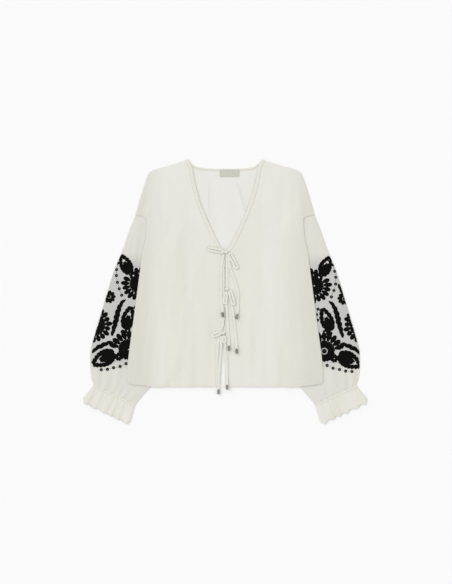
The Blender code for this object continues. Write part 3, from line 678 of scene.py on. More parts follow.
@dataclass(frozen=True)
class AgedMetal:
    """Aged silver-toned metal of the tie ends: dull, brushed round, tarnished dark in blots."""

    name: str = "aged_metal"
    colour: Colour = (0.470, 0.440, 0.390)
    tarnish: Colour = (0.130, 0.116, 0.098)

    def material(self) -> bpy.types.Material:
        """Builds the metal."""
        paint = Paint(self.name)
        place = paint.place()
        blot = paint.noise(place, 420.0, 4.0).between(0.38, 0.68)
        brushed = paint.noise(place, 2600.0, 2.0, (1.0, 0.12, 1.0))
        colour = paint.mix(blot * 0.75 + brushed * 0.2, self.colour, self.tarnish)
        normal = paint.bump(brushed + blot * 0.6, 0.05 * MM, 0.8)
        return paint.finish(Base_Color=colour, Roughness=0.34 + 0.26 * blot, Normal=normal, Metallic=1.0)


@dataclass(frozen=True)
class StudioFloor:
    """A plain pale floor."""

    name: str = "studio_floor"
    colour: Colour = (0.968, 0.968, 0.968)

    def material(self) -> bpy.types.Material:
        """Builds the floor."""
        paint = Paint(self.name)
        cloud = paint.noise(paint.place(), 1.5, 2.0)
        lift = paint.mix(cloud * 0.2, self.colour, tuple(0.99 * c for c in self.colour))
        return paint.finish(Base_Color=lift, Roughness=0.95)


# From how far above or below the plan a ray looks for a piece's skin
RAY_START = 0.05

# The angle in degrees past which an edge stays sharp: soft cloth, thread and metal
SHARP_CLOTH, SHARP_THREAD, SHARP_METAL = 60.0, 75.0, 38.0

# How deep the turned hem is, and the sewing's pitch, the radius of its thread and its seed
HEM_DEPTH = 6.0 * MM
STITCH_PITCH, SEWING_RADIUS, STITCH_SEED = 3.4 * MM, 0.2 * MM, 7


def enter(obj: bpy.types.Object) -> bpy.types.Object:
    """Puts an object in the scene, on the frame's one body."""
    bpy.context.scene.collection.objects.link(obj)
    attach(obj, "root")
    return obj


def new_piece(name: str, verts: Points, faces: Iterable[Sequence[int]], material: bpy.types.Material,
              grain: Points | None = None,
              sharp: float = SHARP_CLOTH) -> bpy.types.Object:
    """Adds a mesh object with its material, its cloth UV map and its ride on the frame.

    Args:
        name: The piece's name.
        verts: Its points.
        faces: Its faces, as point numbers.
        material: Its finish.
        grain: The place of each point on the cloth, in metres.
        sharp: The angle in degrees past which an edge stays sharp.

    Returns:
        The object.
    """
    mesh = bpy.data.meshes.new(name)
    mesh.from_pydata(np.asarray(verts, float).tolist(), [], [tuple(map(int, f)) for f in faces])
    mesh.materials.append(material)
    if grain is not None:
        corners = np.empty(len(mesh.loops), int)
        mesh.loops.foreach_get("vertex_index", corners)
        layer = mesh.uv_layers.new(name="cloth")
        layer.data.foreach_set("uv", np.asarray(grain, float)[corners].ravel())
    mesh.shade_smooth()
    mesh.set_sharp_from_angle(angle=math.radians(sharp))
    return enter(bpy.data.objects.new(name, mesh))


def thicken(obj: bpy.types.Object, thickness: float) -> bpy.types.Object:
    """Gives a sheet its thickness, under the side that its faces look to, as plain mesh."""
    shell = obj.modifiers.new("cloth", "SOLIDIFY")
    shell.thickness, shell.offset, shell.use_even_offset = thickness, -1.0, False
    graph = bpy.context.evaluated_depsgraph_get()
    mesh = bpy.data.meshes.new_from_object(
        obj.evaluated_get(graph), preserve_all_data_layers=True, depsgraph=graph)
    old, name = obj.data, obj.data.name
    obj.modifiers.clear()
    obj.data = mesh
    bpy.data.meshes.remove(old)
    mesh.name = name
    mesh.shade_smooth()
    mesh.set_sharp_from_angle(angle=math.radians(SHARP_CLOTH))
    return obj


def grid_faces(rows: int, columns: int, closed: bool = False) -> list[tuple[int, int, int, int]]:
    """Quads over a grid of points, row after row; closed joins each row's ends."""
    faces = []
    for r in range(rows - 1):
        for c in range(columns if closed else columns - 1):
            a, b = r * columns + c, r * columns + (c + 1) % columns
            faces.append((a, b, b + columns, a + columns))
    return faces


def tube_faces(rings: int, size: int) -> list[tuple[int, ...]]:
    """Quads round a tube through rings of points, and a face over each end."""
    last = size * (rings - 1)
    return grid_faces(rings, size, closed=True) + [tuple(range(size))[::-1], tuple(range(last, last + size))]


def skin_of(piece: bpy.types.Object) -> BVHTree:
    """A piece's faces, ready for rays."""
    mesh = piece.data
    return BVHTree.FromPolygons([v.co for v in mesh.vertices], [tuple(p.vertices) for p in mesh.polygons])


def touch(skin: BVHTree, x: float, y: float, upper: bool) -> tuple[Vector | None, float]:
    """Where an upright ray meets a skin's upper or lower face, and whether the ray goes up or down."""
    start, way = (RAY_START, -1.0) if upper else (-RAY_START, 1.0)
    return skin.ray_cast(Vector((x, y, start)), Vector((0, 0, way)))[0], way


def left_of(way: Points) -> Points:
    """The plan direction at the left hand of another."""
    return np.array([-way[1], way[0]])


def upward(verts: Points, faces: list) -> list:
    """The faces of a lying sheet turned so that they look up."""
    a, b, c = (np.array([f[k] for f in faces]) for k in range(3))
    turn = np.cross(verts[b, :2] - verts[a, :2], verts[c, :2] - verts[a, :2]).sum()
    return faces if turn > 0 else [tuple(reversed(f)) for f in faces]


def patch(bottom: Points, top: Points, left: Points, right: Points) -> Points:
    """Plan points of a cloth panel between four edges, as an even grid.

    Args:
        bottom: The lower edge, left to right.
        top: The upper edge, left to right.
        left: The left edge, bottom to top.
        right: The right edge, bottom to top.

    Returns:
        An array of rows by columns by two.
    """
    u = np.linspace(0, 1, len(bottom))[None, :, None]
    v = np.linspace(0, 1, len(left))[:, None, None]
    ruled = (1 - v) * bottom[None] + v * top[None] + (1 - u) * left[:, None] + u * right[:, None]
    corners = (1 - u) * ((1 - v) * bottom[0] + v * top[0]) + u * ((1 - v) * bottom[-1] + v * top[-1])
    return ruled - corners


def strip_edges(edge: Points, width: float, first_cross: Points, last_cross: Points) -> Points:
    """A binding's inner edge: its outer edge moved in by its width, cut to the given end directions."""
    tangent = np.gradient(edge, axis=0)
    tangent /= np.linalg.norm(tangent, axis=1)[:, None]
    normal = np.stack([-tangent[:, 1], tangent[:, 0]], axis=1)
    distance = along(edge)
    first = (1 - smooth_step(distance / (2.5 * width)))[:, None]
    last = (1 - smooth_step((distance[-1] - distance) / (2.5 * width)))[:, None]
    cross = normal * (1 - first - last) + first * np.array(first_cross) + last * np.array(last_cross)
    return edge + width * cross / np.linalg.norm(cross, axis=1)[:, None]


SHOULDER_WAY = metres(SHOULDER[1:2])[0] - metres(SHOULDER[:1])[0]
SHOULDER_WAY = SHOULDER_WAY / np.linalg.norm(SHOULDER_WAY)


def front_edges(side: Side, step: float = 3 * MM) -> tuple[Points, Points]:
    """A front's bound edge in half plan: the binding's outer and inner edge, neck point to hem."""
    lower = FRONT_EDGE_LEFT if side is Side.LEFT else FRONT_EDGE_RIGHT
    edge = evenly(metres(V_EDGE + lower), step)
    edge[-1, 1] = HEM_UP * MM
    return edge, strip_edges(edge, FRONT_BINDING_WIDTH, SHOULDER_WAY, (1.0, 0.0))


def neck_edges(step: float = 3 * MM) -> tuple[Points, Points]:
    """The back neckline in half plan: the binding's outer and inner edge, neck point to centre."""
    edge = evenly(metres(BACK_NECK), step)
    return edge, strip_edges(edge, NECK_BINDING_WIDTH, SHOULDER_WAY, (0.0, -1.0))


class Keeper:
    """A sub-assembly that notes its pieces by the CAD nodes that they stand for."""

    pieces: dict[str, bpy.types.Object]

    def keep(self, piece: bpy.types.Object, node: str) -> bpy.types.Object:
        """Notes a piece and lets it stand for its CAD node."""
        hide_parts(node)
        self.pieces[node] = piece
        return piece


@dataclass
class Body(Keeper):
    """The back, the two fronts, their bindings and the label."""

    voile: bpy.types.Material
    single_ply: bpy.types.Material
    bound: bpy.types.Material
    tape: bpy.types.Material
    columns: int = 84
    rows: int = 118
    hem_lift: float = 0.32 * MM
    roll: float = 3.0 * MM
    front_roll: float = 0.85 * MM
    back_roll: float = 0.3 * MM
    pieces: dict[str, bpy.types.Object] = field(default_factory=dict)

    def seam_roll(self, x: Points, y: Points) -> Points:
        """1 at the folded sides and shoulders, falling to 0 a few millimetres in."""
        away = distance_to(np.vstack([SHOULDER_EDGE, OUTER_EDGE]), np.abs(x), y)
        return np.clip(1 - away / self.roll, 0, 1) ** 2

    def hem(self, x: Points, y: Points) -> Points:
        """The turned hem's extra height."""
        line = np.vstack([HEM_CORNER, [(0.0, HEM_UP * MM)]])
        away = distance_to(line, np.abs(x), y)
        ripple = 0.06 * MM * np.sin(2 * math.pi * x / 0.0032) * (away < HEM_DEPTH * 1.6)
        return self.hem_lift * (1 - smooth_step((away - HEM_DEPTH) / 0.0012)) + ripple * 0.5

    def front_top(self, x: Points, y: Points, bound_edge: Points) -> Points:
        """The upper side of a front's cloth, with its creases, its hem and its rolled seams."""
        clear = smooth_step((distance_to(bound_edge, np.abs(x), y) - 0.004) / 0.022)
        quiet = 1 - 0.75 * (1 - smooth_step((np.abs(x) - 0.040) / 0.014)) * (y < 0.115)
        away = smooth_step(distance_to(EDGE, np.abs(x), y) / 0.016)
        fine = 1.7 * fold_height(FRONT_CREASES, x, y) + 0.11 * MM * uneven(x, y, 0.055)
        fine = fine + 0.07 * MM * uneven(y, x, 0.021)
        top = front_low(x, y) + WALL - 0.12 * MM + fine * clear * quiet * away
        return top + self.hem(x, y) - self.front_roll * self.seam_roll(x, y)

    def back_top(self, x: Points, y: Points) -> Points:
        """The upper side of the back's cloth."""
        neck = distance_to(neck_edges()[1], np.abs(x), y)
        fine = fold_height(BACK_CREASES, x, y) + 0.08 * MM * uneven(x, y, 0.060)
        under = smooth_step(neck / 0.012) * smooth_step(distance_to(EDGE, np.abs(x), y) / 0.02)
        return back_low(x, y) + WALL - 0.08 * MM + fine * under + self.back_roll * self.seam_roll(x, y)

    def sheet(self, name: str, plan: Points, top: Callable[[Points, Points], Points]) -> bpy.types.Object:
        """A panel's cloth over a grid of plan points."""
        x, y = plan[..., 0].ravel(), plan[..., 1].ravel()
        verts = np.column_stack([x, y, top(x, y)])
        faces = upward(verts, grid_faces(plan.shape[0], plan.shape[1]))
        piece = thicken(new_piece(f"{name}_cloth", verts, faces, self.finish_of(name), verts[:, :2]), CLOTH)
        return self.keep(piece, name)

    def finish_of(self, name: str) -> bpy.types.Material:
        """The back shows as a single ply, and the fronts lie over it."""
        return self.single_ply if name == "back" else self.voile

    def half_panel(self, upper: Points, left: Points) -> Points:
        """Plan points of a panel from its left edge to the garment's side.

        Args:
            upper: The upper edge from the left edge to the shoulder.
            left: The left edge, bottom to top.

        Returns:
            An array of rows by columns by two.
        """
        shoulder = SHOULDER_EDGE[SHOULDER_EDGE[:, 0] > upper[-1, 0] + 1 * MM]
        top = shared_out(np.vstack([upper, shoulder]), self.columns)
        bottom = shared_out(np.vstack([left[:1], HEM_CORNER[::-1]]), self.columns)
        return patch(bottom, top, shared_out(left, self.rows), shared_out(OUTER_EDGE[::-1], self.rows))

    def build_back(self) -> None:
        """The back, one piece from side to side."""
        neck = neck_edges()[1] + (0.1 * MM, -0.1 * MM)
        neck[-1, 0] = 0.0
        half = self.half_panel(neck[::-1], np.array([(0.0, HEM_UP * MM), neck[-1]]))
        other = half[:, :0:-1] * (-1.0, 1.0)
        self.sheet("back", np.concatenate([other, half], axis=1), self.back_top)

    def build_front(self, side: Side) -> None:
        """One front, from its binding to the side."""
        inner = front_edges(side)[1] + (0.1 * MM, 0.0)
        plan = self.half_panel(inner[:1], inner[::-1]) * (side.value, 1.0)
        self.sheet(f"front_{side.word}", plan, lambda x, y: self.front_top(x, y, inner))

    def band(self, name: str, outer: Points, inner: Points, low: Callable[[Points, Points], Points]) -> None:
        """A folded binding between two edges: rounded at both, pressed flat between."""
        shares = np.array([0.0, 0.03, 0.12, 0.5, 0.88, 0.97, 1.0])
        drop = np.array([0.75, 0.35, 0.08, 0.0, 0.08, 0.35, 0.75]) * MM
        plan = outer[:, None] * (1 - shares[None, :, None]) + inner[:, None] * shares[None, :, None]
        x, y = plan[..., 0].ravel(), plan[..., 1].ravel()
        pucker = 0.10 * MM * uneven(x, y, 0.012)
        height = low(x, y) + WALL + BOUND_EXTRA - np.tile(drop, len(outer)) + pucker
        length = np.repeat(along(outer), len(shares))
        verts = np.column_stack([x, y, height])
        grain = np.column_stack([np.tile(shares, len(outer)) * 0.01, length])
        faces = upward(verts, grid_faces(len(outer), len(shares)))
        piece = new_piece(f"{name}_cloth", verts, faces, self.bound, grain)
        self.keep(thicken(piece, BINDING_PLIES - 0.3 * MM), name)

    def build_bindings(self) -> None:
        """The bound edges of the neckline and the fronts."""
        outer, inner = neck_edges()
        whole = [np.vstack([line, (line * (-1.0, 1.0))[::-1][1:]]) for line in (outer, inner)]
        self.band("neck_binding", whole[0], whole[1], back_low)
        for side in Side:
            outer, inner = front_edges(side)
            self.band(f"front_binding_{side.word}", side.turn(outer), side.turn(inner), front_low)

    def build_label(self) -> None:
        """The bare neck label, its ends turned under, sewn over the binding at its top edge."""
        (left, right), (low, top), columns, rows = LABEL_ACROSS, LABEL_UP, 45, 19
        u, v = np.meshgrid(np.linspace(0, 1, columns), np.linspace(0, 1, rows))
        x, y = (left + (right - left) * u).ravel(), (low + (top - low) * v).ravel()
        edge = np.minimum(np.minimum(u, 1 - u) * (right - left), np.minimum(v, 1 - v) * (top - low)).ravel()
        ends = (np.minimum(u, 1 - u).ravel() * (right - left) < LABEL_TURNING) * 0.22 * MM
        rest = back_low(x, y) + WALL + BOUND_EXTRA + 1.15 * MM
        wave = 0.10 * MM * np.sin(2 * math.pi * 1.4 * u.ravel() + 0.6) * (1 - v.ravel())
        verts = np.column_stack([x, y, rest + ends + wave - 0.25 * MM * (1 - smooth_step(edge / 0.0012))])
        faces = upward(verts, grid_faces(rows, columns))
        piece = new_piece("neck_label_tape", verts, faces, self.tape, verts[:, :2])
        self.keep(thicken(piece, 0.6 * MM), "neck_label")

    def build(self) -> None:
        """Builds the body's pieces."""
        self.build_back()
        self.build_label()
        for side in Side:
            self.build_front(side)
        self.build_bindings()
        log.info("body: %s", ", ".join(self.pieces))


WRIST_OUTER, WRIST_INNER = (np.array(p) * MM for p in (SLEEVE[-1][0:2], SLEEVE[-1][2:4]))
WRIST_WAY = (WRIST_INNER - WRIST_OUTER) / np.linalg.norm(WRIST_INNER - WRIST_OUTER)
HAND_WAY = left_of(WRIST_WAY)


def ruffle_turn(share: Points) -> Points:
    """The turn of the ruffle's waves across the wrist, uneven as gathered cloth is."""
    return 2 * math.pi * (RUFFLE_WAVES * share - 0.6 + 0.16 * np.sin(2 * math.pi * 1.6 * share))


def ruffle_line(spread: float, share: Points, phase: float) -> Points:
    """Plan points of the ruffle at a share of its depth, with the hem's scallops."""
    start = WRIST_OUTER + HAND_WAY * (CASING_WIDTH + 2 * GAP)
    end = WRIST_INNER + HAND_WAY * (CASING_WIDTH + 2 * GAP)
    gather = start + share[:, None] * (end - start)
    hem_start, hem_end = metres((RUFFLE_OUTER, RUFFLE_INNER))
    hem = hem_start + share[:, None] * (hem_end - hem_start)
    lobes = np.cos(ruffle_turn(share) + phase)
    rounding = 1 - smooth_step(np.minimum(share, 1 - share) / 0.07)
    reach = (RUFFLE_SCALLOP * lobes + RUFFLE_REACH) * (1 - rounding) - RUFFLE_CORNER * rounding
    return gather + spread * (hem + HAND_WAY * reach[:, None] - gather)


def open_to_view(points: Points) -> Points:
    """0 where the body lies over a sleeve and near its edge, rising to 1 where the sleeve is bare."""
    out, up = points[:, 0], points[:, 1]
    bare = ~inside(BODY_SHADOW, out, up)
    return bare * smooth_step((distance_to(EDGE, out, up) - 0.006) / 0.018)


@dataclass
class Sleeve(Keeper):
    """A balloon sleeve with its elasticated wrist casing and its ruffle, on one side."""

    side: Side
    embroidered: bpy.types.Material
    voile: bpy.types.Material
    bound: bpy.types.Material
    columns: int = 76
    rings: int = 104
    fold_radius: float = 2.6 * MM
    fold_level: float = 1.25 * MM
    # How wide each cut is round its tube, and how deep the ruffle's is, in metres
    cut_width: float = 0.40
    casing_cut: float = 0.3
    ruffle_cut: float = 0.36
    ruffle_depth: float = 0.046
    pieces: dict[str, bpy.types.Object] = field(default_factory=dict)

    def shares(self, count: int) -> Points:
        """Shares across the flattened tube, closer together towards the folds."""
        t = np.linspace(0, 1, count)
        return 0.45 * t + 0.55 * (0.5 - 0.5 * np.cos(math.pi * t))

    def ring(self, top: Points, height: Points, low: Points, level: float = 0.12 * MM) -> Points:
        """One closed loop round the tube: its upper ply, and its lower ply back again.

        Args:
            top: Plan points of the upper ply, outer fold to inner fold.
            height: How high the upper ply is at them.
            low: Plan points of the lower ply in the same order.
            level: How high the lower ply lies.

        Returns:
            The loop's points.
        """
        across = along(top)
        from_fold = np.minimum(across, across[-1] - across)
        swell = np.sqrt(1 - (1 - np.clip(from_fold / self.fold_radius, 0, 1)) ** 2)
        upper = self.fold_level + (height - self.fold_level) * swell
        under = self.fold_level + (level - self.fold_level) * swell
        meet = smooth_step(from_fold / (3 * self.fold_radius))[:, None]
        low = top + (low - top) * meet
        loop = np.vstack([np.column_stack([top, upper]), np.column_stack([low, under])[-2:0:-1]])
        return loop * (self.side.value, 1.0, 1.0)

    def tube(self, name: str, loops: list[Points], depth: Points, width: float,
             material: bpy.types.Material, thickness: float, slot: str) -> None:
        """A flattened tube of cloth through its loops.

        Args:
            name: The piece's name and its CAD node's.
            loops: Its closed loops of points.
            depth: How far down the cloth each loop is.
            width: The cut's width round the tube.
            material: Its finish.
            thickness: The cloth's thickness.
            slot: Not used.
        """
        size = len(loops[0])
        verts = np.vstack(loops)
        faces = grid_faces(len(loops), size, closed=True)
        upper = [f for f in faces if max(i % size for i in f) <= size // 2 and f[1] % size > f[0] % size]
        if upward(verts, upper) is not upper:
            faces = [tuple(reversed(f)) for f in faces]
        around = np.tile(np.abs(np.linspace(-1, 1, size, endpoint=False)), len(loops)) * width / 2
        grain = np.column_stack([around, np.repeat(depth, size)])
        piece = new_piece(f"{name}_cloth", verts, faces, material, grain, 180.0)
        self.keep(thicken(piece, thickness), name)

    def gathers(self, at: float, share: Points) -> Points:
        """The height that the gathers at the armhole and the wrist add."""
        shoulder = (1 - smooth_step(at / 2.1)) * (0.25 + 0.75 * smooth_step(at / 0.25))
        wrist = smooth_step((at - 6.7) / 1.9)
        phase = 2 * math.pi * share
        cap = np.cos(phase * SHOULDER_GATHERS * 2 + 1.1 * np.sin(phase * 2.3 + 0.7))
        cap = (0.5 + 0.5 * cap) ** 1.6 * (0.65 + 0.35 * np.sin(phase * 3.1 + 1.0))
        cuff = np.cos(phase * WRIST_GATHERS + 0.6 + 0.9 * np.sin(phase * 1.7))
        fine = 0.5 + 0.5 * np.cos(phase * WRIST_GATHERS * 2.7 + 1.4 * np.sin(phase * 2.1))
        wrist_height = 1.15 * (0.5 + 0.5 * cuff) ** 1.3 + 0.35 * fine * smooth_step((at - 7.9) / 1.0)
        return MM * (1.15 * shoulder * cap + wrist * wrist_height)

    def sleeve_height(self, at: float, share: Points, top: Points) -> Points:
        """How high the upper ply is along one cross line."""
        across = along(top)
        from_fold = np.minimum(across, across[-1] - across)
        bare = open_to_view(top) * smooth_step(from_fold / 0.016)
        armhole, wrist = 1 - smooth_step(at / 1.6), smooth_step((at - 7.0) / 1.8)
        plain = SLEEVE_PUFF * (1 - 0.75 * wrist - 0.6 * armhole)
        x, y = top[:, 0], top[:, 1]
        creases = fold_height(SLEEVE_CREASES, x, y) + 0.14 * MM * uneven(x, y, 0.05)
        return SLEEVE_HEIGHT - 0.25 * MM + bare * (plain + self.gathers(at, share) + creases)

    def build_sleeve(self) -> None:
        """The sleeve: gathered at the armhole and at the wrist, part of it under the body."""
        share = self.shares(self.columns)
        stations = np.linspace(0, 9, self.rings)
        loops, middle = [], []
        for at in stations:
            top = sleeve_line(at, share)
            level = 0.12 * MM + 0.55 * MM * float(smooth_step(at / 0.8) * smooth_step((8.9 - at) / 0.5))
            loops.append(self.ring(top, self.sleeve_height(at, share, top), top, level))
            middle.append(top[len(top) // 2])
        self.tube(f"sleeve_{self.side.word}", loops, along(np.array(middle)), self.cut_width,
                  self.embroidered, CLOTH, "embroidered_voile")

    def build_casing(self) -> None:
        """The narrow casing, shirred by its elastic."""
        share = np.linspace(0, 1, 121)
        turn = 2 * math.pi * (23 * share + 0.5 * np.sin(2 * math.pi * 2.3 * share))
        shirr = (0.5 + 0.5 * np.cos(turn)) ** 1.5
        swell = 0.5 * MM * np.cos(2 * math.pi * WRIST_GATHERS * share) ** 2
        loops = []
        depth = np.linspace(0, CASING_WIDTH + 0.5 * MM, 11)
        for distance in depth:
            start, end = (p + HAND_WAY * (distance + 0.05 * MM) for p in (WRIST_OUTER, WRIST_INNER))
            line = start + share[:, None] * (end - start)
            ridge = math.sin(math.pi * min(1.0, distance / (CASING_WIDTH + 0.5 * MM))) ** 0.5
            height = CASING_HEIGHT - 0.45 * MM + swell * ridge + (0.30 + 0.45 * ridge) * MM * shirr
            loops.append(self.ring(line, height, line))
        self.tube(f"wrist_casing_{self.side.word}", loops, depth, self.casing_cut, self.bound, CLOTH, "voile")

    def build_ruffle(self) -> None:
        """The wrist ruffle: its upper ply in waves and small pleats, with a narrow rolled hem."""
        share = self.shares(131)
        turn = ruffle_turn(share)
        wave = 0.5 + 0.5 * np.cos(turn)
        ends = smooth_step(np.minimum(share, 1 - share) / 0.05)
        pleats = (0.5 + 0.5 * np.cos(2.9 * turn + 1.3 * np.sin(1.3 * turn))) ** 2
        loops = []
        spreads = np.linspace(0, 1, 30)
        for spread in spreads:
            sway = 0.012 * spread * math.sin(3.0 * spread) * np.sin(1.4 * turn + 0.8) * ends
            top, low = ruffle_line(spread, share + sway, 0.0), ruffle_line(spread, share, RUFFLE_OFFSET)
            rise = RUFFLE_RISE * (0.25 + 0.75 * spread) * wave**1.15
            pinch = 0.95 * MM * pleats * (1 - smooth_step((spread - 0.15) / 0.75))
            hem = 0.28 * MM * smooth_step((spread - 0.925) / 0.02)
            hem = hem * (1 - smooth_step((spread - 0.985) / 0.015))
            height = RUFFLE_HEIGHT - 0.2 * MM + (rise + pinch) * ends + hem
            loops.append(self.ring(top, height, low))
        self.tube(f"ruffle_{self.side.word}", loops, spreads * self.ruffle_depth, self.ruffle_cut,
                  self.voile, CLOTH, "voile")

    def build(self) -> None:
        """Builds the sleeve's pieces."""
        self.build_sleeve()
        self.build_casing()
        self.build_ruffle()
        log.info("%s sleeve: %s", self.side.word, ", ".join(self.pieces))


@dataclass
class Ties(Keeper):
    """Three pairs of ties: straps with metal ends, bow loops and knots."""

    bound: bpy.types.Material
    metal: bpy.types.Material
    coarse_step: float = 11.0 * MM
    fine_step: float = 2.0 * MM
    climb: float = 0.024
    pieces: dict[str, bpy.types.Object] = field(default_factory=dict)
    paths: dict[str, Points] = field(default_factory=dict)

    def ribbon(self, name: str, centre: Points, width: float, closed: bool = False) -> bpy.types.Object:
        """A flat strap of turned cloth along a line: soft edges, a seam ridge and small puckers.

        Args:
            name: Its name.
            centre: The points that it follows.
            width: Its width.
            closed: Whether its ends meet.

        Returns:
            The piece.
        """
        nxt, prv = np.roll(centre, -1, axis=0), np.roll(centre, 1, axis=0)
        tangent = nxt - prv
        if not closed:
            tangent[0], tangent[-1] = centre[1] - centre[0], centre[-1] - centre[-2]
        sideways = np.stack([-tangent[:, 1], tangent[:, 0], np.zeros(len(centre))], axis=1)
        sideways /= np.linalg.norm(sideways, axis=1)[:, None]
        section = np.array([
            (-1.0, 0.0), (-0.93, 0.55), (-0.72, 0.86), (-0.36, 0.80), (-0.1, 0.84), (0.0, 1.0), (0.1, 0.84),
            (0.42, 0.80), (0.74, 0.86), (0.93, 0.55), (1.0, 0.0), (0.9, -0.7), (0.5, -0.9), (0.0, -0.9),
            (-0.5, -0.9), (-0.9, -0.7),
        ])
        length = along(centre)
        narrow = 1 - 0.05 * (0.5 + 0.5 * np.sin(length / 0.0061 + 1.4 * np.sin(length / 0.017)))
        verts = []
        for place, way, tight, far in zip(centre, sideways, narrow, length):
            crinkle = 0.06 * MM * np.sin(far / 0.0013 + 2.0 * section[:, 0])
            rise = section[:, 1] * TIE_THICKNESS / 2 + crinkle * (section[:, 1] > 0.5)
            verts.append(place + way * (section[:, :1] * width / 2 * tight) + np.outer(rise, (0, 0, 1)))
        size = len(section)
        faces = tube_faces(len(centre), size)
        if closed:
            last = size * (len(centre) - 1)
            faces[-2:] = [(last + i, last + (i + 1) % size, (i + 1) % size, i) for i in range(size)]
        around = np.tile(np.arange(size) * 1.2 * MM, len(centre))
        grain = np.column_stack([around, np.repeat(length, size)])
        piece = new_piece(f"{name}_strap", np.vstack(verts), faces, self.bound, grain)
        return self.keep(outward(piece), name)

    def build_strap(self, name: str) -> None:
        """A tie end along its route, and its metal cap."""
        coarse = evenly(metres(STRAPS[name]), self.coarse_step)
        height = rest_height(coarse[:, 0], coarse[:, 1], 0.5 * TIE_WIDTH) + GAP + 0.5 * TIE_THICKNESS
        way = (coarse[-1] - coarse[-2]) / np.linalg.norm(coarse[-1] - coarse[-2])
        cap_start = coarse[-1] + way * GAP
        middle = cap_start + way * 0.5 * CAP_LENGTH
        if name == FLOOR_CAP:
            level = float(height[-2])
            height[-1] = level
        else:
            level = float(rest_height(middle[0], middle[1], 0.5 * CAP_LENGTH)) + GAP + CAP_RADIUS
            climb = smooth_step((along(coarse) - along(coarse)[-1] + self.climb) / self.climb)
            height = height + climb * (level - height[-1])
        centre = evenly(np.column_stack([coarse, height]), self.fine_step)
        self.paths[name] = centre
        self.ribbon(name, centre, TIE_WIDTH)
        self.build_cap(f"{name}_cap", cap_start, way, level)

    def build_cap(self, name: str, end: Points, way: Points, level: float) -> None:
        """A metal end cap: a turned ferrule with a crimped throat, two grooves and a domed end."""
        profile = (
            (0.50, 0.0), (0.60, 0.01), (0.66, 0.04), (0.66, 0.10), (0.74, 0.13), (0.80, 0.16), (0.80, 0.21),
            (0.90, 0.24), (0.98, 0.27), (1.0, 0.30), (1.0, 0.36), (0.93, 0.38), (0.93, 0.41), (1.0, 0.43),
            (1.0, 0.70), (0.93, 0.72), (0.93, 0.75), (1.0, 0.77), (0.99, 0.88), (0.93, 0.94), (0.80, 0.98),
            (0.55, 1.0), (0.25, 1.005),
        )
        sides = 36
        turn = np.arange(sides) * 2 * math.pi / sides
        cross = left_of(way)
        verts = []
        for radius, length in profile:
            dent = 1 - 0.10 * (np.cos(4 * turn) > 0.2) * (0.03 < length < 0.12)
            reach = radius * CAP_RADIUS * dent
            plan = end + way * length * CAP_LENGTH + cross * (reach * np.cos(turn))[:, None]
            verts.append(np.column_stack([plan, level + reach * np.sin(turn)]))
        faces = tube_faces(len(profile), sides)
        piece = new_piece(f"{name}_metal", np.vstack(verts), faces, self.metal, None, SHARP_METAL)
        self.keep(outward(piece, SHARP_METAL), name)

    def build_loop(self, name: str) -> None:
        """A bow loop: a strap round a long narrow eye, lying over the tie ends."""
        across, up, tip_across, tip_up = LOOPS[name]
        root, tip = np.array((across, up)) * MM, np.array((tip_across, tip_up)) * MM
        way = (tip - root) / np.linalg.norm(tip - root)
        cross = left_of(way)
        near, far = root + way * LOOP_HALF_WIDTH, tip - way * LOOP_HALF_WIDTH
        turns = np.linspace(-0.5 * math.pi, 0.5 * math.pi, 11)
        reach = LOOP_HALF_WIDTH
        round_far = [far + reach * (way * math.cos(a) + cross * math.sin(a)) for a in turns]
        round_near = [near - reach * (way * math.cos(a) + cross * math.sin(a)) for a in turns]
        runs = np.linspace(0, 1, 9)[1:-1, None]
        there = round_far[-1] + runs * (round_near[0] - round_far[-1])
        back = round_near[-1] + runs * (round_far[0] - round_near[-1])
        plan = np.vstack([round_far, there, round_near, back])
        level = GAP + TIE_THICKNESS + GAP + 0.5 * TIE_THICKNESS
        coarse = rest_height(plan[:, 0], plan[:, 1], 0.5 * TIE_WIDTH) + level
        self.ribbon(name, np.column_stack([plan, coarse]), LOOP_STRAP_WIDTH, closed=True)

    def build_knot(self, word: str) -> None:
        """A soft knot: a rounded lump with the strap's turns wound over it."""
        x, y = (v * MM for v in KNOTS[word])
        base = float(rest_height(np.array(x), np.array(y), 0.5 * KNOT_SIZE[0])) + GAP
        sides, rings = 48, 25
        around, down = np.meshgrid(np.linspace(0, 2 * math.pi, sides + 1)[:-1],
                                   np.linspace(0.04, math.pi - 0.04, rings))
        wide, long, high = (0.5 * s for s in KNOT_SIZE)
        ring = np.sin(down) ** 0.75
        wound = 0.93 + 0.07 * np.abs(np.cos(3.0 * (np.cos(down) * 1.5 + 0.5 * np.cos(around) + 0.4)))
        px = x + wide * ring * np.cos(around) * wound
        py = y + long * ring * np.sin(around) * (0.90 + 0.10 * np.cos(2 * around)) * wound
        pz = base + high * (1 + np.cos(down) * wound)
        verts = np.column_stack([px.ravel(), py.ravel(), pz.ravel()])
        faces = grid_faces(rings, sides, closed=True)
        faces += [tuple(range(sides)), tuple(range((rings - 1) * sides, rings * sides))]
        grain = np.column_stack([around.ravel() * 5 * MM, down.ravel() * 5 * MM])
        piece = new_piece(f"tie_{word}_knot_cloth", verts, faces, self.bound, grain)
        self.keep(outward(piece), f"tie_{word}_knot")

    def build(self) -> None:
        """Builds the ties: straps with their caps, the bow loops and the knots."""
        for name in STRAPS:
            self.build_strap(name)
        for name in LOOPS:
            self.build_loop(name)
        for word in KNOTS:
            self.build_knot(word)
        log.info("ties: %s", ", ".join(self.pieces))


def outward(obj: bpy.types.Object, sharp: float = SHARP_CLOTH) -> bpy.types.Object:
    """Turns the faces of a closed piece outwards."""
    tidy = bmesh.new()
    tidy.from_mesh(obj.data)
    bmesh.ops.recalc_face_normals(tidy, faces=tidy.faces)
    tidy.to_mesh(obj.data)
    tidy.free()
    obj.data.set_sharp_from_angle(angle=math.radians(sharp))
    return obj


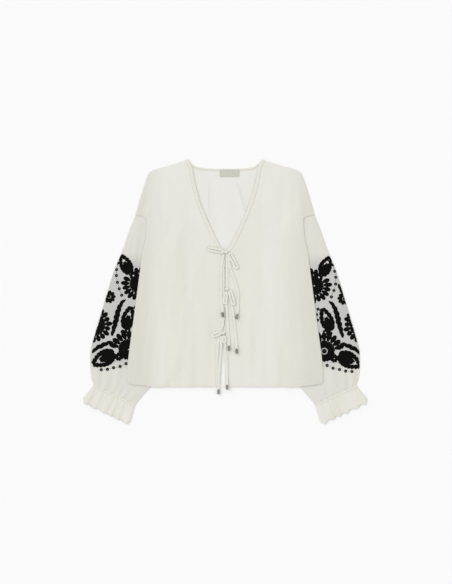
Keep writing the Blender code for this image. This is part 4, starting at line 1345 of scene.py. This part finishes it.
@dataclass(frozen=True)
class Lobe:
    """One padded satin-stitch shape in half plan, in millimetres: its root, tip and widths."""

    root: tuple[float, float]
    tip: tuple[float, float]
    width: float
    narrow: float = 0.55
    height: float = 0.72


def spoke(centre: Sequence[float], angle: float, near: float, far: float, width: float,
          **kind: float) -> Lobe:
    """A lobe that points away from a centre."""
    way = (math.cos(angle), math.sin(angle))
    root, tip = ((centre[0] + reach * way[0], centre[1] + reach * way[1]) for reach in (near, far))
    return Lobe(root, tip, width, **kind)


def rosette(centre: Sequence[float], eye: float, radius: float, count: int, turn: float = 0.0,
            narrow: float = 0.55) -> list[Lobe]:
    """Short lobes set closely round a small bare eye."""
    width = 2 * math.pi * radius * 0.62 / count * 1.45
    return [spoke(centre, turn + 2 * math.pi * k / count, eye, radius, width, narrow=narrow)
            for k in range(count)]


def flower(centre: Sequence[float], heart: float, radius: float, petals: int, turn: float,
           skip: tuple[float, float] = (0.0, 0.0), ringed: bool = False) -> list[Lobe]:
    """A round folk flower: long petals, a closed ring of short ones, and a rosette at its heart.

    Args:
        centre: Its middle.
        heart: Where the long petals start.
        radius: Where they end.
        petals: How many there are.
        turn: The angle of the first, in degrees.
        skip: The angles in degrees between which there are no long petals.
        ringed: Whether a bare ring shows in its heart.

    Returns:
        Its lobes.
    """
    turn = math.radians(turn)
    lobes = []
    step = 2 * math.pi / petals
    for k in range(petals):
        angle, wobble = turn + step * k, 1 + 0.05 * math.sin(2.7 * k + centre[1])
        width = step * radius * 0.87
        if not skip[0] < (math.degrees(angle) - skip[0]) % 360 + skip[0] < skip[1]:
            lobes.append(spoke(centre, angle, heart * 0.87, radius * wobble, width, narrow=0.50, height=0.85))
        short = step * heart * 1.22
        lobes.append(spoke(centre, angle + step / 2, heart * 0.42, heart * 1.03, short, narrow=0.85))
    if not ringed:
        return lobes + rosette(centre, heart * 0.03, heart * 0.66, max(7, petals // 2), turn, 0.8)
    lobes += rosette(centre, heart * 0.27, heart * 0.66, petals - 3, turn, 0.95)
    return lobes + rosette(centre, 0.0, heart * 0.265, 9, turn, 0.9)


def almond(root: Points, tip: Points, half_width: float, t: float, hand: float) -> Points:
    """A point on an almond outline between a root and a tip, on its left or right hand."""
    axis = tip - root
    normal = np.array([-axis[1], axis[0]]) / np.linalg.norm(axis)
    return root + axis * t + normal * hand * half_width * math.sin(math.pi * t**0.85) ** 0.8


def bud(root: Sequence[float], tip: Sequence[float], half_width: float, steps: int = 7,
        core: float = 0.52, band: float = 0.80) -> list[Lobe]:
    """A bud: a lumpy almond outline, open near its tip, round a leafy core.

    Args:
        root: Where it grows from.
        tip: Its point.
        half_width: Half its width.
        steps: How many lumps each side has.
        core: How far up the core reaches.
        band: How wide the outline's lumps are, for a half width of one.

    Returns:
        Its lobes.
    """
    start, end = np.array(root, float), np.array(tip, float)
    lobes = []
    inner = half_width * 0.66
    for hand in (-1.0, 1.0):
        for k in range(steps):
            t0, t1 = k / steps, min(1.0, (k + 1.55) / steps)
            a = almond(start, end, inner, t0 * 0.98, hand)
            b = almond(start, end, half_width * 0.95, t1, hand)
            lobes.append(Lobe(tuple(a), tuple(b), half_width * band, 0.8, 0.8))
    axis, normal = end - start, np.array([start[1] - end[1], end[0] - start[0]])
    normal = normal / np.linalg.norm(normal) * half_width
    for hand in (-1.0, -0.36, 0.36, 1.0):
        foot = start + axis * 0.03
        head = start + axis * (core if abs(hand) < 0.5 else core * 0.80) + normal * hand * 0.40
        lobes.append(Lobe(tuple(foot), tuple(head), half_width * 0.72, 0.7, 0.75))
    return lobes + rosette(start + axis * core * 0.62, 0.5, half_width * 0.56, 7)


def sprig(points: Sequence[Sequence[float]], width: float, step: float = 13.0) -> list[Lobe]:
    """A long lumpy leaf: a thick spine with rounded lumps at its left and right in turn."""
    line = evenly(np.array(points, float), step)
    count = len(line) - 1
    lobes = []
    for k in range(count):
        way = line[k + 1] - line[k]
        normal = left_of(way) / np.linalg.norm(way)
        swell = width * (0.48 + 0.52 * math.sin(math.pi * ((k + 0.8) / (count + 0.6)) ** 1.1))
        for hand, size, reach in ((0.0, 0.92, 1.3), (-1.0, 0.56, 0.80), (1.0, 0.56, 0.80)):
            start = line[k] + normal * hand * swell * 0.30 + way * (0.25 * hand)
            lobes.append(Lobe(tuple(start - way * 0.32), tuple(start + way * reach), swell * size, 0.9))
    return lobes


def bead_row(points: Sequence[Sequence[float]], radius: float) -> list[Lobe]:
    """A chain of small round eyelets joined by running stitches."""
    lobes = []
    for place in points:
        lobes += rosette(place, radius * 0.07, radius * 1.02, 6, 0.4, 0.95)
    for a, b in zip(np.array(points, float)[:-1], np.array(points, float)[1:]):
        way = (b - a) / np.linalg.norm(b - a)
        lobes.append(Lobe(tuple(a + way * radius * 0.8), tuple(b - way * radius * 0.8), 1.25, 0.95, 0.35))
    return lobes


def sleeve_motifs(ringed: bool) -> list[Lobe]:
    """The sleeve's bold folk pattern: buds, half flowers at both edges, sprigs and eyelet chains."""
    lean = 1.0 if ringed else 0.0
    lobes = flower((224.5, 20.0), 24.5, 45.5, 19, 4.3, (28.0, 62.0))
    if ringed:
        lobes += [Lobe((287.0, 26.5), (294.2, 7.5), 9.5, 0.9), Lobe((289.6, 18.0), (299.5, -3.5), 9.5, 0.7)]
    lobes += bud((246.3, 46.5), (271.2, 95.5), 15.4, 7, 0.68)
    lobes += rosette((238.5, 42.0), 1.2, 11.5, 8, 0.2) + rosette((229.0, 40.0), 1.0, 9.0, 7, 0.6)
    lobes += bud((259.0 + 9.0 * lean, -98.0), (244.8, -38.0), 16.4, 6, 0.64)
    lobes += flower((250.5, -150.0), 28.0, 52.0, 19, 15.0, (-172.0, 5.0), ringed)
    lobes += bud((287.0, -158.5), (344.5, -189.0), 20.8, 8, 0.71 + 0.04 * lean, 0.68)
    lobes += flower((341.0 + 5.5 * lean, -85.5 + 3.0 * lean), 29.5, 46.5, 19, 5.9)
    lobes += rosette((301.2, -13.1), 3.4, 17.6, 9, 0.3, 0.9) + rosette((301.2, -13.1), 0.0, 3.9, 5, 0.9)
    spine = ((264.4, -22.8), (274.0, -37.2), (280.0, -56.5), (284.6, -78.0), (293.7, -112.6))
    lobes += sprig([(out + lean * (3.5 + 0.010 * (-22.8 - up)), up) for out, up in spine], 14.4)
    lobes += sprig(
        ((296.9, -129.9), (310.1, -134.7), (325.0, -142.0), (333.0, -145.5), (344.0, -157.0)), 12.4)
    lobes += rosette((276.4, -168.8), 0.4, 12.0, 8, 0.5, 0.8) + rosette((260.5, -166.5), 1.0, 9.5, 7, 0.2)
    lobes += rosette((253.5, -101.5), 0.8, 8.6, 6, 0.4) + rosette((266.0, -104.0), 0.8, 6.4, 6, 0.1)
    lobes += bead_row(((234.3, -40.8), (230.5, -55.0), (233.0, -69.0)), 4.6)
    lobes += bead_row(
        ((279.0, 74.5), (282.2, 57.8), (282.6, 42.2), (279.9, 24.6), (275.3, 8.0), (268.8, -8.8)), 4.6)
    lobes += bead_row(
        ((322.0, -202.6), (305.8, -201.6), (290.0, -197.4), (273.2, -194.2), (257.8, -187.0)), 4.7)
    return lobes


@dataclass
class Embroidery:
    """The black satin-stitch embroidery of a sleeve, raised on its cloth and carried round its fold."""

    sleeve: Sleeve
    thread: bpy.types.Material
    shift: tuple[float, float] = (0.0, 0.0)
    stations: int = 9
    sunk: float = 0.22 * MM
    under_body: float = 11.0 * MM
    # The share of the sideways shift that is held back near the armhole, and where, in millimetres
    held: float = 0.72
    held_above: float = 20.0
    held_over: float = 50.0
    fold_line: Points = field(default_factory=lambda: np.vstack(
        [sleeve_line(at, np.array([0.0])) for at in np.linspace(0, 9, 61)])[::-1])

    def section(self) -> Points:
        """A lobe's cross-section: across from -1 to 1, and up from 0 to 1."""
        return np.array([(-1.0, 0.0), (-0.86, 0.52), (-0.5, 0.88), (0.0, 1.0), (0.5, 0.88), (0.86, 0.52),
                         (1.0, 0.0), (0.5, -0.25), (-0.5, -0.25)])

    def outer_fold(self, up: Points) -> Points:
        """How far out the sleeve's outer fold lies."""
        return np.interp(up, self.fold_line[:, 1], self.fold_line[:, 0])

    def lobe_plan(self, lobe: Lobe) -> tuple[Points, Points, Points]:
        """A lobe's points in half plan, how high each stands, and its place on the thread.

        Args:
            lobe: The lobe.

        Returns:
            Plan points, lifts and thread places, one row for each point.
        """
        share = float(smooth_step((lobe.root[1] - self.held_above) / self.held_over))
        ease = np.array((1 - self.held * share, 1.0))
        root, tip = ((np.array(end) + ease * self.shift) * MM for end in (lobe.root, lobe.tip))
        length = float(np.linalg.norm(tip - root))
        way = (tip - root) / length
        cross = left_of(way)
        t = 0.5 - 0.5 * np.cos(np.linspace(0.03, 0.97, self.stations) * math.pi)
        plump = np.sin(math.pi * t ** (1.0 + 0.55 * (1 - lobe.narrow))) ** 0.55
        half = 0.5 * lobe.width * MM * plump
        nick = 1 + 0.07 * np.cos(np.arange(self.stations) * math.pi)
        section = self.section()
        forward, aside = (t * length)[:, None, None], (half * nick)[:, None, None]
        plan = root + way * forward + cross * aside * section[None, :, :1]
        lift = lobe.height * MM * np.minimum(1.0, plump)[:, None] * section[None, :, 1] - self.sunk
        place = np.stack([np.broadcast_to((t * length)[:, None], lift.shape),
                          half[:, None] * section[None, :, 0]], axis=-1)
        return plan.reshape(-1, 2), lift.ravel(), place.reshape(-1, 2)

    def lay(self, plan: Points, lift: Points, top: bool, skin: BVHTree) -> Points:
        """Brings points on to the sleeve's cloth, past its outer fold on to the other ply.

        Args:
            plan: Half-plan points.
            lift: How far each stands off the cloth.
            top: Whether they belong to the upper ply.
            skin: The sleeve's cloth.

        Returns:
            The points in space.
        """
        fold = self.outer_fold(plan[:, 1])
        beyond = plan[:, 0] > fold - 0.05 * MM
        out = np.where(beyond, 2 * fold - plan[:, 0] - 0.10 * MM, plan[:, 0])
        verts = np.empty((len(plan), 3))
        for k, (x, y) in enumerate(zip(out * self.sleeve.side.value, plan[:, 1])):
            upper = top != bool(beyond[k])
            hit, way = touch(skin, x, y, upper)
            level = hit.z if hit else self.sleeve.fold_level
            verts[k] = (x, y, level - way * lift[k])
        return verts

    def build(self) -> bpy.types.Object:
        """Builds the motifs of both plies as one piece."""
        skin = skin_of(self.sleeve.pieces[f"sleeve_{self.sleeve.side.word}"])
        verts, faces, places, count = [], [], [], 0
        size = len(self.section())
        for lobe in sleeve_motifs(self.sleeve.side is Side.RIGHT):
            plan, lift, place = self.lobe_plan(lobe)
            middle = plan.mean(axis=0)
            if middle[0] > self.outer_fold(middle[1:])[0] + 4 * MM:
                continue
            covered = inside(BODY_SHADOW, middle[:1], middle[1:])[0]
            depth = float(distance_to(EDGE, middle[:1], middle[1:])[0])
            for top in (True, False):
                if top and covered and depth > self.under_body:
                    continue
                verts.append(self.lay(plan, lift, top, skin))
                places.append(place)
                faces += [tuple(i + count for i in face) for face in tube_faces(self.stations, size)]
                count += len(plan)
        piece = new_piece(f"embroidery_{self.sleeve.side.word}", np.vstack(verts), faces, self.thread,
                          np.vstack(places), SHARP_THREAD)
        log.info("%s embroidery: %d faces", self.sleeve.side.word, len(faces))
        return outward(piece, SHARP_THREAD)


class StitchTree:
    """The Geometry Nodes tree that sets even stitches along the lines of a mesh."""

    def __init__(self) -> None:
        """Builds the tree and notes the identifiers of its inputs."""
        self.tree = bpy.data.node_groups.new("stitches_along_lines", "GeometryNodeTree")
        face = self.tree.interface
        face.new_socket("Geometry", in_out="INPUT", socket_type="NodeSocketGeometry")
        self.inputs: dict[str, str] = {}
        for name, kind, value in (("Pitch", "Float", STITCH_PITCH), ("Stitch Length", "Float", 2.4 * MM),
                                  ("Thread Radius", "Float", SEWING_RADIUS), ("Seed", "Int", STITCH_SEED),
                                  ("Thread", "Material", None)):
            socket = face.new_socket(name, in_out="INPUT", socket_type=f"NodeSocket{kind}")
            self.inputs[name] = socket.identifier
            if value is not None:
                socket.default_value = value
        face.new_socket("Geometry", in_out="OUTPUT", socket_type="NodeSocketGeometry")
        self.source = self.tree.nodes.new("NodeGroupInput")
        self.wire()

    def node(self, kind: str, settings: dict | None = None, **feeds: object) -> bpy.types.Node:
        """A node with its settings, its sockets fed from other sockets or set to values.

        Args:
            kind: The node's type.
            settings: Its properties by name.
            feeds: Its inputs by name, with an underscore for each space.

        Returns:
            The node.
        """
        node = self.tree.nodes.new(kind)
        for name, value in (settings or {}).items():
            setattr(node, name, value)
        for name, value in feeds.items():
            socket = next(s for s in node.inputs if s.enabled and s.name == name.replace("_", " "))
            if isinstance(value, bpy.types.NodeSocket):
                self.tree.links.new(value, socket)
            else:
                socket.default_value = value
        return node

    def wire(self) -> None:
        """Lines to curves, points at the pitch, a rounded stitch on each, then real mesh."""
        given = self.source.outputs
        curve = self.node("GeometryNodeMeshToCurve", Mesh=given["Geometry"])
        spaced = self.node("GeometryNodeResampleCurve", {"mode": "LENGTH"}, Curve=curve.outputs["Curve"],
                           Length=given["Pitch"])
        tangent = self.node("GeometryNodeInputTangent")
        turned = self.node("FunctionNodeAlignRotationToVector", {"axis": "Z"},
                           Vector=tangent.outputs["Tangent"])
        half = self.node("ShaderNodeMath", {"operation": "MULTIPLY"}, Value=given["Stitch Length"])
        half.inputs[1].default_value = 0.5
        uneven_size = self.node("FunctionNodeRandomValue", {"data_type": "FLOAT_VECTOR"},
                                Min=(0.88, 0.88, 0.90), Max=(1.08, 1.08, 1.05), Seed=given["Seed"])
        size = self.node("ShaderNodeCombineXYZ", X=given["Thread Radius"], Y=given["Thread Radius"],
                         Z=half.outputs["Value"])
        scale = self.node("ShaderNodeVectorMath", {"operation": "MULTIPLY"})
        self.tree.links.new(size.outputs["Vector"], scale.inputs[0])
        self.tree.links.new(uneven_size.outputs["Value"], scale.inputs[1])
        stitch = self.node("GeometryNodeMeshUVSphere", Segments=6, Rings=5, Radius=1.0)
        placed = self.node("GeometryNodeInstanceOnPoints", Points=spaced.outputs["Curve"],
                           Instance=stitch.outputs["Mesh"], Rotation=turned.outputs["Rotation"],
                           Scale=scale.outputs["Vector"])
        real = self.node("GeometryNodeRealizeInstances", Geometry=placed.outputs["Instances"])
        smooth = self.node("GeometryNodeSetShadeSmooth", Geometry=real.outputs["Geometry"])
        thread = self.node("GeometryNodeSetMaterial", Geometry=smooth.outputs["Geometry"],
                           Material=given["Thread"])
        self.node("NodeGroupOutput", Geometry=thread.outputs["Geometry"])


@dataclass
class Stitching:
    """The sewing: rows of small stitches on the hems, bindings, casings, seams and label."""

    pieces: dict[str, bpy.types.Object]
    thread: bpy.types.Material
    tree: StitchTree = field(default_factory=StitchTree)
    radius: float = SEWING_RADIUS
    step: float = 2.0 * MM
    # How far a stitch's middle stands off the cloth in radii, and its length as a share of the pitch
    stand: float = 0.35
    full_share: float = 0.70
    # Where the rows run, as shares of a binding's width and of the ruffle's depth
    front_row: float = 0.86
    neck_row: float = 0.84
    ruffle_row: float = 0.93

    def on_cloth(self, cloth: str, plan: Points, upper: bool = True) -> Points:
        """Brings a plan line on to a piece of cloth, from above or from below.

        Args:
            cloth: The piece's node name.
            plan: The line's points.
            upper: Whether it lies on the upper face.

        Returns:
            The points that meet the cloth, in space.
        """
        skin = skin_of(self.pieces[cloth])
        met = [touch(skin, x, y, upper) for x, y in evenly(plan, self.step)]
        return np.array([(*hit.xy, max(hit.z - way * self.stand * self.radius, self.radius))
                         for hit, way in met if hit])

    def sew(self, name: str, lines: Sequence[Points],
            pitch: float = STITCH_PITCH) -> None:
        """Sews rows of stitches along lines, as one piece of plain mesh.

        Args:
            name: The piece's name.
            lines: The rows, in space.
            pitch: The length from one stitch to the next.
        """
        starts = np.cumsum([0] + [len(line) for line in lines])
        edges = [(int(s) + k, int(s) + k + 1) for s, line in zip(starts, lines) for k in range(len(line) - 1)]
        mesh = bpy.data.meshes.new(f"{name}_line")
        mesh.from_pydata(np.vstack(lines).tolist(), edges, [])
        guide = bpy.data.objects.new(f"{name}_line", mesh)
        bpy.context.scene.collection.objects.link(guide)
        modifier = guide.modifiers.new("stitches", "NODES")
        modifier.node_group = self.tree.tree
        values = {"Pitch": pitch, "Stitch Length": self.full_share * pitch, "Thread Radius": self.radius,
                  "Seed": STITCH_SEED, "Thread": self.thread}
        for label, value in values.items():
            modifier[self.tree.inputs[label]] = value
        graph = bpy.context.evaluated_depsgraph_get()
        made = bpy.data.meshes.new_from_object(guide.evaluated_get(graph), depsgraph=graph)
        guide.modifiers.remove(modifier)
        bpy.data.objects.remove(guide)
        bpy.data.meshes.remove(mesh)
        made.name = name
        enter(bpy.data.objects.new(name, made))
        log.info("%s: %d faces", name, len(made.polygons))

    def build_body(self) -> None:
        """The rows on the hems, the bindings, the armhole seams and the label."""
        for side in Side:
            word = side.word
            outer, inner = front_edges(side, 4 * MM)
            row = outer + self.front_row * (inner - outer)
            hem = evenly(metres(HEM + ((-10.0, HEM_UP),)), 4 * MM) + (0.0, HEM_DEPTH)
            seam = ARMHOLE[1:9] + (0.0, 2.4 * MM)
            self.sew(f"stitches_front_{word}", [
                self.on_cloth(f"front_binding_{word}", side.turn(row)[2:-2]),
                self.on_cloth(f"front_{word}", side.turn(hem)),
                self.on_cloth(f"front_{word}", side.turn(seam)),
                self.on_cloth("back", side.turn(hem), upper=False)])
        outer, inner = neck_edges(4 * MM)
        row = (outer + self.neck_row * (inner - outer))[2:]
        whole = np.vstack([row, (row * (-1.0, 1.0))[::-1][1:]])
        self.sew("stitches_neck", [self.on_cloth("neck_binding", whole)])
        ends = [np.array(((x, 300.6), (x, 317.4))) * MM for x in (-11.6, 34.4)]
        self.sew("stitches_label", [self.on_cloth("neck_label", end) for end in ends], 2.4 * MM)

    def build_sleeve(self, side: Side) -> None:
        """The rows on a sleeve's casing and its ruffle's hem, on both faces."""
        word, rows = side.word, []
        for upper in (True, False):
            for depth in (1.3 * MM, CASING_WIDTH - 1.0 * MM):
                line = np.array([WRIST_OUTER, WRIST_INNER]) + HAND_WAY * depth
                rows.append(self.on_cloth(f"wrist_casing_{word}", side.turn(line), upper))
            hem = ruffle_line(self.ruffle_row, np.linspace(0.02, 0.98, 90), 0.0 if upper else RUFFLE_OFFSET)
            rows.append(self.on_cloth(f"ruffle_{word}", side.turn(hem), upper))
        self.sew(f"stitches_wrist_{word}", rows, 3.0 * MM)

    def build(self) -> None:
        """Sews every row."""
        self.build_body()
        for side in Side:
            self.build_sleeve(side)


@dataclass
class Studio:
    """The plain pale floor, the soft light and the camera straight above."""

    aim: tuple[float, float] = (2.3 * MM, -0.5 * MM)
    distance: float = 3.0
    frame_height: float = 1.5184
    floor_size: float = 60.0
    surround: float = 0.66

    def build_camera(self) -> None:
        """The camera, with the photograph's frame."""
        lens = bpy.data.cameras.new("camera")
        lens.sensor_fit, lens.sensor_width = "AUTO", 36.0
        lens.lens = 36.0 * self.distance / self.frame_height
        lens.clip_end = 200.0
        camera = bpy.data.objects.new("camera", lens)
        camera.location = (*self.aim, self.distance + 4 * MM)
        bpy.context.scene.collection.objects.link(camera)
        bpy.context.scene.camera = camera

    def build_floor(self, finish: StudioFloor) -> None:
        """The floor, wide enough for every view."""
        half = self.floor_size / 2
        mesh = bpy.data.meshes.new("floor")
        corners = [(-half, -half, 0), (half, -half, 0), (half, half, 0), (-half, half, 0)]
        mesh.from_pydata([(x, y, -0.02 * MM) for x, y, _ in corners], [], [(0, 1, 2, 3)])
        mesh.materials.append(finish.material())
        floor = bpy.data.objects.new("floor", mesh)
        bpy.context.scene.collection.objects.link(floor)
        floor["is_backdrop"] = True

    def lamp(self, name: str, place: tuple[float, float, float], spread: float, power: float) -> None:
        """A broad soft light from one direction, as even as a large studio panel's."""
        light = bpy.data.lights.new(name, "SUN")
        light.angle, light.energy = math.radians(spread), power
        obj = bpy.data.objects.new(name, light)
        obj.location = place
        obj.rotation_euler = (-Vector(place)).to_track_quat("-Z", "Y").to_euler()
        bpy.context.scene.collection.objects.link(obj)

    def build_light(self) -> None:
        """A white surround and two soft lights from above."""
        scene = bpy.context.scene
        scene.view_settings.view_transform = "Standard"
        world = bpy.data.worlds.new("surround")
        world.use_nodes = True
        world.node_tree.nodes["Background"].inputs["Color"].default_value = (1.0, 1.0, 1.0, 1.0)
        world.node_tree.nodes["Background"].inputs["Strength"].default_value = self.surround
        scene.world = world
        self.lamp("key_light", (-2.2, 1.7, 2.6), 40.0, 0.95)
        self.lamp("fill_light", (1.2, -0.4, 3.4), 70.0, 0.42)

    def build(self, finish: StudioFloor) -> None:
        """Builds the camera, the floor and the light."""
        self.build_camera()
        self.build_floor(finish)
        self.build_light()
        log.info("studio: camera, floor, lights")


def declare_cloth(ties: Ties) -> None:
    """Logs how many tie pieces there are."""
    log.info("cloth declared; %d tie pieces", len(ties.pieces))


def main() -> None:
    """Builds the studio and the blouse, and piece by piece."""
    logging.basicConfig(level=logging.INFO, format="%(name)s: %(message)s")
    cad_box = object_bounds()
    Studio().build(StudioFloor())
    voile, bound = Voile(beside=0.75).material(), FoldedBinding().material()
    ties = Ties(bound, AgedMetal().material())
    ties.build()
    # The back's single ply, with painted light in the low slit and painted shade along its creases
    single = Voile("voile_single_ply", (0.842, 0.836, 0.794), (0.804, 0.796, 0.750),
                   below=(0.950, 0.948, 0.915)).material()
    body = Body(voile, single, bound, LabelTape().material())
    body.build()
    ground = Voile("embroidered_voile", (0.756, 0.735, 0.672), (0.712, 0.690, 0.618),
                   ground=(0.560, 0.557, 0.537), open_weave=(0.745, 0.735, 0.690)).material()
    frill = Voile("ruffle_voile", (0.795, 0.772, 0.698), (0.750, 0.724, 0.645)).material()
    sleeves = {side: Sleeve(side, ground, frill, bound) for side in Side}
    thread = SatinThread().material()
    for sleeve in sleeves.values():
        sleeve.build()
        Embroidery(sleeve, thread, (0.0, 0.0) if sleeve.side is Side.LEFT else RIGHT_SHIFT).build()
    cloths = {**body.pieces, **sleeves[Side.LEFT].pieces, **sleeves[Side.RIGHT].pieces}
    Stitching(cloths, SewingThread().material()).build()
    declare_cloth(ties)
    boxes = {"cad": plain(cad_box), "visual": plain(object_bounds())}
    log.info("boxes: %s", boxes)


def plain(box: Iterable) -> list[list[float]]:
    """A box's corners as plain lists."""
    return [[float(v) for v in corner] for corner in box]


if __name__ == "__main__":
    main()
